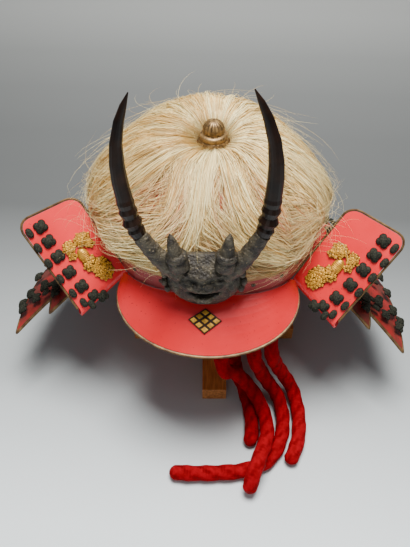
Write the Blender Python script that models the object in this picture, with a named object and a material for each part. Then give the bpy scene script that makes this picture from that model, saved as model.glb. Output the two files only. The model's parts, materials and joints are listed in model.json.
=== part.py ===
"""Samurai helmet on a wooden stand. Metres, +Z up, the front towards -Y.

The origin is on the floor, under the crown of the helmet.
"""

import math

import bmesh
import bpy
import numpy as np
from mathutils import Vector

# Clearance between pieces that touch
GAP = 0.0003

# Bowl and the upright band round its foot
RIM_Z = 0.187
BOWL_HALF_WIDTH = 0.1052
BOWL_HALF_LENGTH = 0.1147
BOWL_HEIGHT = 0.108
BOWL_WALL = 0.0025
BOWL_SIDES = 56
PLAN_POWER = 2.7
DOME_POWER = 2.25
BAND_HEIGHT = 0.026
BAND_WALL = 0.0025

# Peak
PEAK_THICKNESS = 0.0025
PEAK_HALF_WIDTH = 0.0972
PEAK_REACH = 0.0750
PEAK_INSET = 0.0197
PEAK_CENTRE_Y = -(BOWL_HALF_LENGTH - PEAK_INSET)
PEAK_JOINT_Z = 0.193
PEAK_JOINT_DROP = 0.0055
PEAK_FRONT_Z = 0.159
PEAK_END_Z = 0.172
PEAK_JOINT_ANGLE = math.radians(45)
PEAK_RIM_ANGLE = math.radians(103)
PEAK_BULGE = 0.003
PEAK_RIM_RADIUS = 0.0016
PLATE_WIDTH = 0.034
PLATE_LENGTH = 0.022
PLATE_THICKNESS = 0.0012
PLATE_RELIEF = 0.0008
PLATE_SHARE = 0.47
PLATE_CELLS = 3

# Neck guard: three lames on one flaring surface
LAME_THICKNESS = 0.0025
GUARD_TOP_Z = 0.1856
GUARD_FRONT_DIP = 0.027
GUARD_LOW_Z = 0.090
GUARD_FRONT_LOW_Z = 0.100
GUARD_BACK_RADIUS = BOWL_HALF_LENGTH + 0.0773
GUARD_FRONT_FLARE = 0.062
GUARD_FLARE_ANGLE = math.radians(115)
GUARD_FLARE_POWER = 2.4
GUARD_BULGE = 0.004
# Shares of the guard's depth, and the angle from the back at which each edge ends
LAME_1 = dict(top=0.0, low=0.40, top_end=119.0, low_end=125.0)
LAME_2 = dict(top=0.335, low=0.66, top_end=113.0, low_end=117.5)
LAME_3 = dict(top=0.595, low=1.0, top_end=109.0, low_end=115.0)
LAME_COLUMNS = 61

# Turned-back flap at each front end of the top lame, right-hand side
FLAP_INNER_INSET = 0.0077
FLAP_OUTER_STANDOFF = 0.0368
FLAP_FOOT_INNER = Vector((BOWL_HALF_WIDTH - FLAP_INNER_INSET, -0.064, RIM_Z - 0.015))
FLAP_FOOT_OUTER = Vector((BOWL_HALF_WIDTH + FLAP_OUTER_STANDOFF, -0.109, RIM_Z - 0.038))
FLAP_RISE = Vector((0.0520, 0.0385, 0.0665))
FLAP_OUTER_SHARE = 1.2
FLAP_FOLD_HANDLE = 0.011
FLAP_CORNER = 0.012
EDGING_RADIUS = 0.0013

# Gilt guardian animal: places and half sizes as shares of the flap's inner length and width
LION_LOBES = (
    dict(along=0.20, across=0.40, half_long=0.175, half_wide=0.235, high=1.0),
    dict(along=0.38, across=0.44, half_long=0.160, half_wide=0.150, high=0.85),
    dict(along=0.555, across=0.38, half_long=0.120, half_wide=0.165, high=1.0),
    dict(along=0.515, across=0.54, half_long=0.060, half_wide=0.125, high=0.6),
    dict(along=0.56, across=0.66, half_long=0.120, half_wide=0.100, high=0.8),
)
LION_HEIGHT = 0.0035

# Front crest: a mask with two long horns, in a plane that tilts back and leans a little
CREST_STANDOFF = 0.0153
CREST_FOOT = Vector((0.0, -(BOWL_HALF_LENGTH + CREST_STANDOFF), RIM_Z + 0.003))
CREST_TILT = math.atan(0.12)
CREST_LEAN = math.radians(3.3)
MASK_HEIGHT = 0.063
MASK_LOW = 0.0026
MASK_HALF_WIDTH = 0.0385
MASK_DEPTH = 0.0165
MASK_BACK = 0.004
# Height share, half width share and forward depth share of the mask's sections
MASK_SECTIONS = (
    (0.00, 0.34, 0.12),
    (0.06, 0.50, 0.38),
    (0.13, 0.64, 0.62),
    (0.24, 0.80, 0.88),
    (0.34, 0.92, 0.84),
    (0.42, 1.00, 0.60),
    (0.55, 1.00, 0.64),
    (0.68, 0.99, 1.00),
    (0.80, 0.96, 0.82),
    (0.90, 0.93, 0.56),
    (1.00, 0.86, 0.32),
)
MASK_HORN_FOOT = (0.0220, 0.062)
MASK_HORN_TIP = (0.0268, 0.0955)
MASK_HORN_RADIUS = 0.0098
ARM_FOOT = (0.029, 0.050)
ARM_BEND = (0.044, 0.070)
ARM_TOP = (0.0558, 0.0905)
ARM_RADIUS = 0.0080
HORN_HEIGHT = 0.1315
HORN_RADIUS = 0.0078
HORN_OUT = 0.0558
# Share of the horn's height, place across in shares of its height, and radius share
HORN_SECTIONS = (
    (0.000, 0.0000, 0.92),
    (0.040, 0.0140, 1.06),
    (0.062, 0.0200, 0.90),
    (0.105, 0.0310, 1.22),
    (0.145, 0.0390, 0.88),
    (0.190, 0.0470, 1.12),
    (0.225, 0.0520, 0.94),
    (0.260, 0.0560, 1.04),
    (0.290, 0.0590, 0.96),
    (0.420, 0.0700, 0.92),
    (0.540, 0.0700, 0.84),
    (0.680, 0.0550, 0.70),
    (0.820, 0.0170, 0.55),
    (0.920, -0.0250, 0.36),
    (1.000, -0.0650, 0.06),
)

# Finial on the crown
FINIAL_RADIUS = 0.017
FINIAL_BASE_HEIGHT = 0.008
FINIAL_RING_RADIUS = 0.0145
FINIAL_RING_HEIGHT = 0.0058
FINIAL_DOME_RADIUS = 0.011
FINIAL_DOME_HEIGHT = 0.0135
FINIAL_FLUTES = 16

# Hair: half sizes of its outer form, and its lower edge
HAIR_SHIFT = -0.006
HAIR_SIDE_DEPTH = 0.0358
HAIR_HALF_WIDTH = BOWL_HALF_WIDTH + HAIR_SIDE_DEPTH
HAIR_FRONT = BOWL_HALF_LENGTH + 0.0033
HAIR_BACK = BOWL_HALF_LENGTH + 0.0353
HAIR_PLAN_POWER = 2.0
HAIR_TOP_Z = 0.296
HAIR_FOOT_Z = 0.187
HAIR_FRONT_EDGE_Z = 0.2165
HAIR_SIDE_EDGE_Z = 0.200
HAIR_BACK_PUFF = 0.017
HAIR_HOLE_RADIUS = 0.0185
HAIR_LOCKS = 44
# How far the hair's backing stands off the bowl and the band, and the spread of the lock tips there
HAIR_LIFT = 0.0007
HAIR_TIP_SPREAD = 0.008
HAIR_BACK_DIP = 0.008
HAIR_LEAST = 0.0035
# Share by which the hair is pressed in where it meets a flap
HAIR_FLAP_PRESS = 0.13
HAIR_LOCK_DEPTH = 0.0040
HAIR_TIP_DEPTH = 0.010
# Angles above the shoulder, in degrees, of the rings of the hair's backing over the dome
HAIR_BACKING_TURNS = (14, 24, 34, 45, 56, 66, 76)
# Radius share and height share of the hair's outer form, from the finial down
HAIR_SECTIONS = (
    (0.145, 1.05),
    (0.24, 1.08),
    (0.38, 1.05),
    (0.53, 0.96),
    (0.69, 0.81),
    (0.83, 0.63),
    (0.94, 0.44),
    (1.00, 0.28),
    (0.985, 0.17),
)

# Wooden stand, square to the viewer and so turned a little from the helmet
STAND_TURN = math.radians(3.5)
STAND_CENTRE = Vector((0.004, -0.018, 0.0))
STAND_HALF_LENGTH = 0.1095
STAND_BAR_WIDTH = 0.030
STAND_BAR_HEIGHT = 0.022
STAND_POST_RADIUS = 0.014
STAND_HEAD_RADIUS = 0.036
STAND_HEAD_THICKNESS = 0.012

# Cords: thick soft red rope that leaves the bowl's inside and lies on the floor
CORD_RADIUS = 0.0088
CORD_POINT_STEP = 1.5
# Each cord hangs from a hole in the bowl's front wall, at an angle from +X and this height
CORD_HOLE_Z = 0.201
# Distance from the wall and drop below the hole of a cord's first points
CORD_HOLE_DROP = (
    (0.0032, 0.0002), (0.0093, 0.0009), (0.0160, 0.0045), (0.0215, 0.014), (0.0235, 0.032),
)
CORD_ROUTES = dict(
    cord_left_end=(-60.0, (
        (0.0545, -0.123, 0.102), (0.063, -0.122, 0.068), (0.0755, -0.121, 0.038), (0.088, -0.126, 0.019),
        (0.0945, -0.140, 0.0095), (0.0962, -0.158, 0.009), (0.093, -0.180, 0.009), (0.083, -0.201, 0.009),
        (0.067, -0.215, 0.009), (0.045, -0.223, 0.009), (0.016, -0.227, 0.009), (-0.012, -0.229, 0.009),
        (-0.0355, -0.229, 0.009),
    )),
    cord_front_end=(-84.0, (
        (0.019, -0.137, 0.095), (0.034, -0.132, 0.072), (0.0475, -0.130, 0.049), (0.0595, -0.134, 0.031),
        (0.0685, -0.146, 0.0225), (0.0740, -0.162, 0.0195), (0.0755, -0.181, 0.0210), (0.0715, -0.198, 0.0255),
        (0.0675, -0.209, 0.0285), (0.0640, -0.220, 0.0285), (0.0598, -0.2315, 0.0255), (0.0565, -0.2405, 0.0165),
        (0.0540, -0.2475, 0.0092),
    )),
    cord_short_end=(-72.0, (
        (0.029, -0.112, 0.110), (0.032, -0.108, 0.072), (0.037, -0.109, 0.040), (0.0465, -0.118, 0.019),
        (0.0535, -0.137, 0.0095), (0.0575, -0.156, 0.009), (0.0580, -0.176, 0.009), (0.0545, -0.192, 0.009),
    )),
    cord_outer_end=(-44.0, (
        (0.074, -0.118, 0.106), (0.083, -0.114, 0.068), (0.0955, -0.112, 0.040), (0.1075, -0.117, 0.019),
        (0.1145, -0.138, 0.0095), (0.1155, -0.160, 0.009), (0.1130, -0.181, 0.009), (0.107, -0.198, 0.009),
        (0.1005, -0.2105, 0.009),
    )),
)


def material(name, colour, roughness, metallic=0.0):
    """One Principled material."""
    made = bpy.data.materials.new(name)
    made.use_nodes = True
    shader = made.node_tree.nodes["Principled BSDF"]
    shader.inputs["Base Color"].default_value = (*colour, 1.0)
    shader.inputs["Roughness"].default_value = roughness
    shader.inputs["Metallic"].default_value = metallic
    return made


def finish_mesh(name, vertices, faces, finish):
    """Puts a closed mesh into the scene, its faces outwards and its round sides smooth."""
    mesh = bpy.data.meshes.new(name)
    mesh.from_pydata([tuple(v) for v in np.asarray(vertices).tolist()], [], faces)
    edit = bmesh.new()
    edit.from_mesh(mesh)
    bmesh.ops.recalc_face_normals(edit, faces=edit.faces)
    edit.to_mesh(mesh)
    edit.free()
    mesh.shade_smooth()
    mesh.set_sharp_from_angle(angle=math.radians(40))
    made = bpy.data.objects.new(name, mesh)
    mesh.materials.append(finish)
    bpy.context.scene.collection.objects.link(made)
    return made


def loft(name, rings, finish, wrap=False):
    """A closed skin through closed rings of points: capped at both ends, or joined end to start."""
    rings = np.asarray(rings)
    count, sides, _ = rings.shape
    vertices = rings.reshape(-1, 3)
    faces = []
    for ring in range(count if wrap else count - 1):
        following = (ring + 1) % count
        for side in range(sides):
            other = (side + 1) % sides
            faces.append((ring * sides + side, ring * sides + other,
                          following * sides + other, following * sides + side))
    if not wrap:
        poles = np.array([rings[0].mean(axis=0), rings[-1].mean(axis=0)])
        vertices = np.concatenate([vertices, poles])
        last = (count - 1) * sides
        for side in range(sides):
            other = (side + 1) % sides
            faces.append((count * sides, side, other))
            faces.append((count * sides + 1, last + other, last + side))
    return finish_mesh(name, vertices, faces, finish)


def plate(name, upper, lower, finish):
    """A closed plate between two grids of points of the same size."""
    rows, columns, _ = upper.shape
    size = rows * columns
    vertices = np.concatenate([upper.reshape(-1, 3), lower.reshape(-1, 3)])
    faces = []
    for row in range(rows - 1):
        for column in range(columns - 1):
            a = row * columns + column
            quad = (a, a + 1, a + columns + 1, a + columns)
            faces.append(quad)
            faces.append(tuple(size + v for v in reversed(quad)))
    border = [(0, c) for c in range(columns)] + [(r, columns - 1) for r in range(1, rows)]
    border += [(rows - 1, c) for c in range(columns - 2, -1, -1)] + [(r, 0) for r in range(rows - 2, 0, -1)]
    flat = [r * columns + c for r, c in border]
    for a, b in zip(flat, flat[1:] + flat[:1]):
        faces.append((b, a, size + a, size + b))
    return finish_mesh(name, vertices, faces, finish)


def normals(grid):
    """Unit normals of a grid of points."""
    across = np.cross(np.gradient(grid, axis=0), np.gradient(grid, axis=1))
    return across / np.maximum(np.linalg.norm(across, axis=2, keepdims=True), 1e-12)


def plan_radius(half_width, half_length, angle, power=PLAN_POWER):
    """Radius of a rounded oblong in plan at an angle from +X."""
    wide = np.abs(np.cos(angle) / half_width) ** power
    long = np.abs(np.sin(angle) / half_length) ** power
    return (wide + long) ** (-1 / power)


def ring(radius, angle, height):
    """Points at the given radii, angles and heights about the Z axis."""
    return np.stack([radius * np.cos(angle), radius * np.sin(angle), height + 0 * angle], axis=-1)


def bowl_rings(inset, top_first):
    """Rings of the bowl's surface, moved inwards by inset."""
    angle = np.linspace(0, 2 * np.pi, BOWL_SIDES, endpoint=False)
    radius = plan_radius(BOWL_HALF_WIDTH - inset, BOWL_HALF_LENGTH - inset, angle)
    shoulder = RIM_Z + BAND_HEIGHT
    rise = RIM_Z + BOWL_HEIGHT - inset - shoulder
    rings = [ring(radius, angle, RIM_Z)]
    for turn in np.linspace(0, 0.5 * np.pi, 12)[:-1]:
        share = math.cos(turn) ** (2 / DOME_POWER)
        rings.append(ring(radius * share, angle, shoulder + rise * math.sin(turn) ** (2 / DOME_POWER)))
    return rings[::-1] if top_first else rings


def dome_height(x, y, inset):
    """Height of the dome over a point near its middle."""
    angle = math.atan2(y, x)
    radius = plan_radius(BOWL_HALF_WIDTH - inset, BOWL_HALF_LENGTH - inset, angle)
    share = math.hypot(x, y) / radius
    shoulder = RIM_Z + BAND_HEIGHT
    rise = RIM_Z + BOWL_HEIGHT - inset - shoulder
    return shoulder + rise * (1 - share ** DOME_POWER) ** (1 / DOME_POWER)


def band_size(extra=0.0):
    """Half width and half length of the band's outer face."""
    grow = GAP + BAND_WALL + extra
    return BOWL_HALF_WIDTH + grow, BOWL_HALF_LENGTH + grow


def make_bowl(lacquer):
    """Hollow dome with an upright lower wall."""
    loft("bowl", bowl_rings(BOWL_WALL, True) + bowl_rings(0.0, False), lacquer)


def make_waist_band(lacquer):
    """Upright band round the foot of the bowl."""
    angle = np.linspace(0, 2 * np.pi, BOWL_SIDES, endpoint=False)
    outer = plan_radius(*band_size(), angle)
    inner = plan_radius(*band_size(-BAND_WALL), angle)
    top = RIM_Z + BAND_HEIGHT
    rings = [ring(outer, angle, RIM_Z), ring(outer, angle, top),
             ring(inner, angle, top), ring(inner, angle, RIM_Z)]
    loft("waist_band", rings, lacquer, wrap=True)


def peak_point(turn, share):
    """Middle surface of the peak: turn runs from -1 to 1 round it, share from the bowl to the rim."""
    joint_angle = -0.5 * np.pi + turn * PEAK_JOINT_ANGLE
    joint_radius = plan_radius(*band_size(4 * GAP), joint_angle)
    joint = ring(joint_radius, joint_angle, PEAK_JOINT_Z - PEAK_JOINT_DROP * turn ** 2)
    swing = turn * PEAK_RIM_ANGLE
    lift = (1 - np.cos(swing)) / (1 - math.cos(PEAK_RIM_ANGLE))
    rim = np.stack([
        PEAK_HALF_WIDTH * np.sin(swing),
        PEAK_CENTRE_Y - PEAK_REACH * np.cos(swing),
        PEAK_FRONT_Z + (PEAK_END_Z - PEAK_FRONT_Z) * lift,
    ], axis=-1)
    share = np.asarray(share)[..., None]
    point = joint + (rim - joint) * share
    point[..., 2] += (PEAK_BULGE * 4 * share * (1 - share))[..., 0]
    return point


def make_peak(lacquer, metal):
    """Sloping peak and the metal edging along its rim."""
    turn, share = np.meshgrid(np.linspace(-1, 1, 45), np.linspace(0, 1, 8), indexing="ij")
    middle = peak_point(turn, share)
    up = normals(middle)
    up *= np.sign(up[..., 2:3])
    plate("peak", middle + up * PEAK_THICKNESS / 2, middle - up * PEAK_THICKNESS / 2, lacquer)
    line = np.linspace(-1, 1, 45)
    rim = peak_point(line, np.ones_like(line))
    out = rim - peak_point(line, np.full_like(line, 0.97))
    out /= np.linalg.norm(out, axis=1, keepdims=True)
    cord("peak_rim", rim + out * (PEAK_RIM_RADIUS + GAP), PEAK_RIM_RADIUS, metal, resolution=1)


def make_crest_plate(metal):
    """Lozenge plate on the peak, with a lattice of small raised lozenges."""
    steps = np.unique(np.concatenate(
        [[-1.0, 1.0]] + [(-1 + 2 * (cell + np.array([0.10, 0.18, 0.82, 0.90])) / PLATE_CELLS)
                         for cell in range(PLATE_CELLS)]))
    first, second = np.meshgrid(steps * 0.25, steps * 0.25, indexing="ij")
    across = (first - second) * PLATE_WIDTH
    along = (first + second) * PLATE_LENGTH
    reach = PEAK_REACH + abs(PEAK_CENTRE_Y) - band_size()[1]
    share = PLATE_SHARE + along / reach
    at_rim = PEAK_HALF_WIDTH * PEAK_RIM_ANGLE
    at_joint = band_size()[1] * PEAK_JOINT_ANGLE
    turn = across / (at_rim * share + at_joint * (1 - share))
    middle = peak_point(turn, share)
    up = normals(middle)
    up *= np.sign(up[..., 2:3])
    cell = (steps + 1) * 0.5 * PLATE_CELLS % 1.0
    inside = (cell > 0.15) & (cell < 0.85)
    inside[0] = inside[-1] = False
    relief = (inside[:, None] & inside[None, :])[..., None] * PLATE_RELIEF
    base = middle + up * (PEAK_THICKNESS / 2 + GAP)
    plate("crest_plate", base + up * (PLATE_THICKNESS + relief), base, metal)


def guard_point(angle, depth):
    """Neck guard's surface: angle from the back, in radians, and depth share from its top edge."""
    azimuth = 0.5 * np.pi - angle
    top_radius = plan_radius(*band_size(-0.5 * BAND_WALL), azimuth)
    turned = np.abs(angle) / GUARD_FLARE_ANGLE
    low_radius = GUARD_BACK_RADIUS + GUARD_FRONT_FLARE * turned ** GUARD_FLARE_POWER
    radius = top_radius + (low_radius - top_radius) * depth
    fall = np.clip((np.abs(angle) - math.radians(85)) / math.radians(35), 0, 1.15)
    top_z = GUARD_TOP_Z - GUARD_FRONT_DIP * fall
    low_z = GUARD_LOW_Z + (GUARD_FRONT_LOW_Z - GUARD_LOW_Z) * fall
    height = top_z + (low_z - top_z) * depth + GUARD_BULGE * 4 * depth * (1 - depth)
    return ring(radius, azimuth, height)


def guard_grid(lame, rows):
    """Angles and depths of one lame, and its surface."""
    share = np.linspace(0, 1, rows)
    end = np.radians(lame["top_end"] + (lame["low_end"] - lame["top_end"]) * share)
    depth = lame["top"] + (lame["low"] - lame["top"]) * share
    turn = np.linspace(-1, 1, LAME_COLUMNS)
    angle = turn[:, None] * end[None, :]
    return guard_point(angle, depth[None, :] + 0 * angle)


def flap_frame():
    """Corners of the flat right-hand flap and the direction it faces."""
    outer_rise = FLAP_RISE * FLAP_OUTER_SHARE
    facing = (FLAP_FOOT_OUTER - FLAP_FOOT_INNER).cross(FLAP_RISE).normalized()
    if facing.y > 0:
        facing.negate()
    return FLAP_FOOT_INNER, FLAP_FOOT_OUTER, FLAP_RISE, outer_rise, facing


def flap_point(along, across):
    """Point of the right-hand flap: along from its foot, across from its inner edge."""
    inner, outer, inner_rise, outer_rise, _ = (np.array(v) for v in flap_frame())
    along = np.asarray(along)[..., None]
    across = np.asarray(across)[..., None]
    foot = inner + (outer - inner) * across
    return foot + (inner_rise + (outer_rise - inner_rise) * across) * along


def flap_outline(share):
    """How far the flap's end is drawn in at a length share, which rounds its two end corners."""
    width = (FLAP_FOOT_OUTER - FLAP_FOOT_INNER).length
    length = FLAP_RISE.length * 0.5 * (1 + FLAP_OUTER_SHARE)
    left = np.clip(1 - (1 - share) * length / FLAP_CORNER, 0, 1)
    return FLAP_CORNER / width * (1 - np.sqrt(1 - left ** 2))


def flap_grid(rows):
    """Surface of the right-hand flap, from its foot to its rounded end."""
    share = np.concatenate([np.linspace(0, 0.86, 5), [0.90, 0.94, 0.97, 0.99, 1.0]])
    inset = flap_outline(share)[:, None]
    across = inset + (1 - 2 * inset) * np.linspace(0, 1, rows)[None, :]
    return flap_point(share[:, None] + 0 * across, across)


def fold_grid(lame_end, lame_before, flap):
    """The bend between the top lame's front end and the flap's foot, on cubic curves."""
    forward = lame_end - lame_before
    forward /= np.linalg.norm(forward, axis=-1, keepdims=True)
    rise = flap[1] - flap[0]
    rise /= np.linalg.norm(rise, axis=-1, keepdims=True)
    first = lame_end + forward * FLAP_FOLD_HANDLE
    second = flap[0] - rise * FLAP_FOLD_HANDLE
    share = np.linspace(0, 1, 9)[1:-1, None, None]
    return ((1 - share) ** 3 * lame_end + 3 * (1 - share) ** 2 * share * first
            + 3 * (1 - share) * share ** 2 * second + share ** 3 * flap[0])


def lame_plate(name, middle, lift, finish):
    """A lame of even thickness, moved outwards by lift from the guard's surface."""
    out = normals(middle)
    if out[middle.shape[0] // 2, 0, 2] < 0:
        out = -out
    middle = middle + out * lift
    half = out * LAME_THICKNESS / 2
    return plate(name, middle + half, middle - half, finish)


def make_neck_guard(lacquer, metal):
    """Three lames; the top one carries the two turned-back flaps and their edging."""
    rows = 7
    top = guard_grid(LAME_1, rows)
    flap = flap_grid(rows)
    bend = fold_grid(top[-1], top[-2], flap)
    right = np.concatenate([bend, flap])
    left = right[::-1] * np.array([-1, 1, 1])
    lame_plate("neck_lame_1", np.concatenate([left, top, right]), 0.0, lacquer)
    step = LAME_THICKNESS + GAP
    lame_plate("neck_lame_2", guard_grid(LAME_2, 5), -step, lacquer)
    lame_plate("neck_lame_3", guard_grid(LAME_3, 6), -2 * step, lacquer)
    facing = np.array(flap_frame()[4])
    middle = flap.mean(axis=(0, 1))
    border = np.concatenate([flap[:-1, -1], flap[-1, ::-1], flap[-2::-1, 0]])
    out = border - middle
    out -= (out @ facing)[:, None] * facing
    path = np.gradient(border, axis=0)
    path /= np.linalg.norm(path, axis=1, keepdims=True)
    aside = np.cross(path, facing)
    aside *= np.sign((aside * out).sum(axis=1))[:, None]
    edge = border + aside * (EDGING_RADIUS + GAP)
    cord("flap_edging_right", edge, EDGING_RADIUS, metal, resolution=1)
    cord("flap_edging_left", edge * np.array([-1, 1, 1]), EDGING_RADIUS, metal, resolution=1)


def lion_lobe(lobe, sink, side, finish):
    """One low rounded lump of the animal's relief, flat on its back."""
    facing = np.array(flap_frame()[4])
    base = LAME_THICKNESS / 2 + GAP + sink
    turn = np.linspace(0, 2 * np.pi, 14, endpoint=False)
    rings = []
    for spread, share in ((1.0, 0.0), (0.99, 0.45), (0.80, 0.80), (0.45, 0.97)):
        along = lobe["along"] + lobe["half_long"] * spread * np.cos(turn)
        across = lobe["across"] + lobe["half_wide"] * spread * np.sin(turn)
        height = base + (LION_HEIGHT * lobe["high"] - sink) * share
        rings.append((flap_point(along, across) + facing * height) * np.array([side, 1, 1]))
    return loft("lobe", rings, finish)


def union(name, pieces, finish):
    """Fuses overlapping pieces into one body."""
    body = pieces[0]
    for other in pieces[1:]:
        cut = body.modifiers.new("join", "BOOLEAN")
        cut.operation = "UNION"
        cut.solver = "EXACT"
        cut.object = other
    graph = bpy.context.evaluated_depsgraph_get()
    mesh = bpy.data.meshes.new_from_object(body.evaluated_get(graph))
    made = bpy.data.objects.new(name, mesh)
    mesh.materials.clear()
    mesh.materials.append(finish)
    bpy.context.scene.collection.objects.link(made)
    for piece in pieces:
        bpy.data.objects.remove(piece)
    made.name = name
    return made


def make_lions(gilt):
    """Gilt guardian animal in relief on each flap."""
    for side, name in ((1, "flap_lion_right"), (-1, "flap_lion_left")):
        lobes = [lion_lobe(lobe, 0.00002 * place, side, gilt) for place, lobe in enumerate(LION_LOBES)]
        union(name, lobes, gilt)


def crest_point(across, up, forward=0.0):
    """Point of the crest's own plane, leaned to one side and tilted back."""
    x = across * math.cos(CREST_LEAN) - up * math.sin(CREST_LEAN)
    h = across * math.sin(CREST_LEAN) + up * math.cos(CREST_LEAN)
    y = h * math.sin(CREST_TILT) - forward * math.cos(CREST_TILT)
    z = h * math.cos(CREST_TILT) + forward * math.sin(CREST_TILT)
    return CREST_FOOT + Vector((x, y, z))


def sweep_rings(points, radii, sides):
    """Round rings square to a path, turned as little as possible along it."""
    points = [Vector(p) for p in points]
    rings = []
    side = None
    for place, (point, radius) in enumerate(zip(points, radii)):
        ahead = points[min(place + 1, len(points) - 1)] - points[max(place - 1, 0)]
        ahead.normalize()
        if side is None:
            side = ahead.orthogonal().normalized()
        side = (side - ahead * side.dot(ahead)).normalized()
        other = ahead.cross(side)
        turns = [2 * math.pi * k / sides for k in range(sides)]
        rings.append([tuple(point + float(radius) * (math.cos(t) * side + math.sin(t) * other))
                      for t in turns])
    return rings


def smooth_path(points, steps):
    """Even steps along a smooth curve through a few points, as whole arrays."""
    points = np.asarray([tuple(p) for p in points], dtype=float)
    padded = np.concatenate([2 * points[:1] - points[1:2], points, 2 * points[-1:] - points[-2:-1]])
    fine = []
    for a, b, c, d in zip(padded, padded[1:], padded[2:], padded[3:]):
        t = np.linspace(0, 1, 24, endpoint=False)[:, None]
        fine.append(0.5 * (2 * b + (c - a) * t + (2 * a - 5 * b + 4 * c - d) * t ** 2
                           + (3 * b - a - 3 * c + d) * t ** 3))
    fine = np.concatenate(fine + [points[-1:]])
    length = np.concatenate([[0], np.cumsum(np.linalg.norm(np.diff(fine, axis=0), axis=1))])
    even = np.linspace(0, length[-1], steps)
    return np.stack([np.interp(even, length, fine[:, axis]) for axis in range(3)], axis=1), length[-1]


def make_mask(bronze):
    """Cast mask with two short horns and the two arms that carry the long ones."""
    columns = np.linspace(-1, 1, 15)
    front, back = [], []
    for height, width, depth in MASK_SECTIONS:
        up = MASK_LOW + MASK_HEIGHT * height
        half = MASK_HALF_WIDTH * width
        swell = MASK_DEPTH * depth * (1 - np.abs(columns) ** 2.4) ** 0.7
        front.append([tuple(crest_point(c * half, up, s)) for c, s in zip(columns, swell)])
        back.append([tuple(crest_point(c * half, up, -MASK_BACK)) for c in columns])
    body = plate("mask_body", np.array(front), np.array(back), bronze)
    pieces = [body]
    for side in (-1, 1):
        foot = crest_point(side * MASK_HORN_FOOT[0], MASK_HORN_FOOT[1], MASK_HORN_RADIUS)
        tip = crest_point(side * MASK_HORN_TIP[0], MASK_HORN_TIP[1], MASK_HORN_RADIUS)
        share = (0.0, 0.35, 0.65, 0.85, 0.96)
        radius = [MASK_HORN_RADIUS * r for r in (1.0, 0.92, 0.72, 0.50, 0.25)]
        rings = sweep_rings([foot.lerp(tip, s) for s in share], radius, 12)
        pieces.append(loft("short_horn", rings, bronze))
        bends = [crest_point(side * a, h, ARM_RADIUS - MASK_BACK) for a, h in (ARM_FOOT, ARM_BEND, ARM_TOP)]
        path, _ = smooth_path(bends, 7)
        rings = sweep_rings(path, [ARM_RADIUS * r for r in (1.0, 1.1, 1.1, 1.05, 1.0, 0.97, 0.94)], 14)
        pieces.append(loft("arm", rings, bronze))
    union("mask", pieces, bronze)


def make_horn(name, side, finish):
    """Long horn with a ringed foot, seated on the mask's arm."""
    sections = np.array(HORN_SECTIONS)
    points = [crest_point(side * (HORN_OUT + HORN_HEIGHT * a), ARM_TOP[1] + HORN_HEIGHT * s,
                          ARM_RADIUS - MASK_BACK) for s, a, _ in sections]
    start = (points[1] - points[0]).normalized() * GAP * 4
    points = [p + start * (1 - s) for p, s in zip(points, sections[:, 0])]
    loft(name, sweep_rings(points, HORN_RADIUS * sections[:, 2], 16), finish)


def turned(name, profile, sides, finish, flute=None):
    """A solid turned about the helmet's axis from radius and height pairs, bottom to top."""
    angle = np.linspace(0, 2 * np.pi, sides, endpoint=False)
    rings = []
    for radius, height in profile:
        radii = radius + 0 * angle
        if flute:
            radii = radii * (1 + flute * np.cos(FINIAL_FLUTES * angle))
        rings.append(ring(radii, angle, height))
    loft(name, rings, finish)


def make_finial(gilt):
    """Skirt, rolled ring and fluted dome on the crown's flat top."""
    z = bowl_rings(0.0, True)[0][0, 2] + GAP
    base = [(1.0, 0.0), (1.0, 0.16), (0.94, 0.55), (0.86, 0.85), (0.84, 1.0)]
    turned("finial_base", [(FINIAL_RADIUS * r, z + FINIAL_BASE_HEIGHT * h) for r, h in base], 32, gilt)
    z += FINIAL_BASE_HEIGHT + GAP
    roll = [(0.90, 0.0), (1.0, 0.28), (1.0, 0.62), (0.93, 0.88), (0.84, 1.0)]
    turned("finial_ring", [(FINIAL_RING_RADIUS * r, z + FINIAL_RING_HEIGHT * h) for r, h in roll], 28, gilt)
    z += FINIAL_RING_HEIGHT + GAP
    dome = [(1.0, 0.0), (1.04, 0.25), (0.98, 0.50), (0.80, 0.75), (0.50, 0.92), (0.20, 1.0)]
    turned("finial_dome", [(FINIAL_DOME_RADIUS * r, z + FINIAL_DOME_HEIGHT * h) for r, h in dome],
           FINIAL_FLUTES * 4, gilt, flute=0.03)


def clear_of_bowl(points, clearance):
    """Points moved outwards in plan where they lie nearer to the bowl than the clearance."""
    shoulder = RIM_Z + BAND_HEIGHT
    rise = RIM_Z + BOWL_HEIGHT + clearance - shoulder
    angle = np.arctan2(points[:, 1], points[:, 0])
    share = np.clip((points[:, 2] - shoulder) / rise, 0, 1)
    size = BOWL_HALF_WIDTH + clearance, BOWL_HALF_LENGTH + clearance
    least = plan_radius(*size, angle) * (1 - share ** DOME_POWER) ** (1 / DOME_POWER)
    radius = np.maximum(np.hypot(points[:, 0], points[:, 1]), least)
    return ring(radius, angle, points[:, 2])


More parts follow.
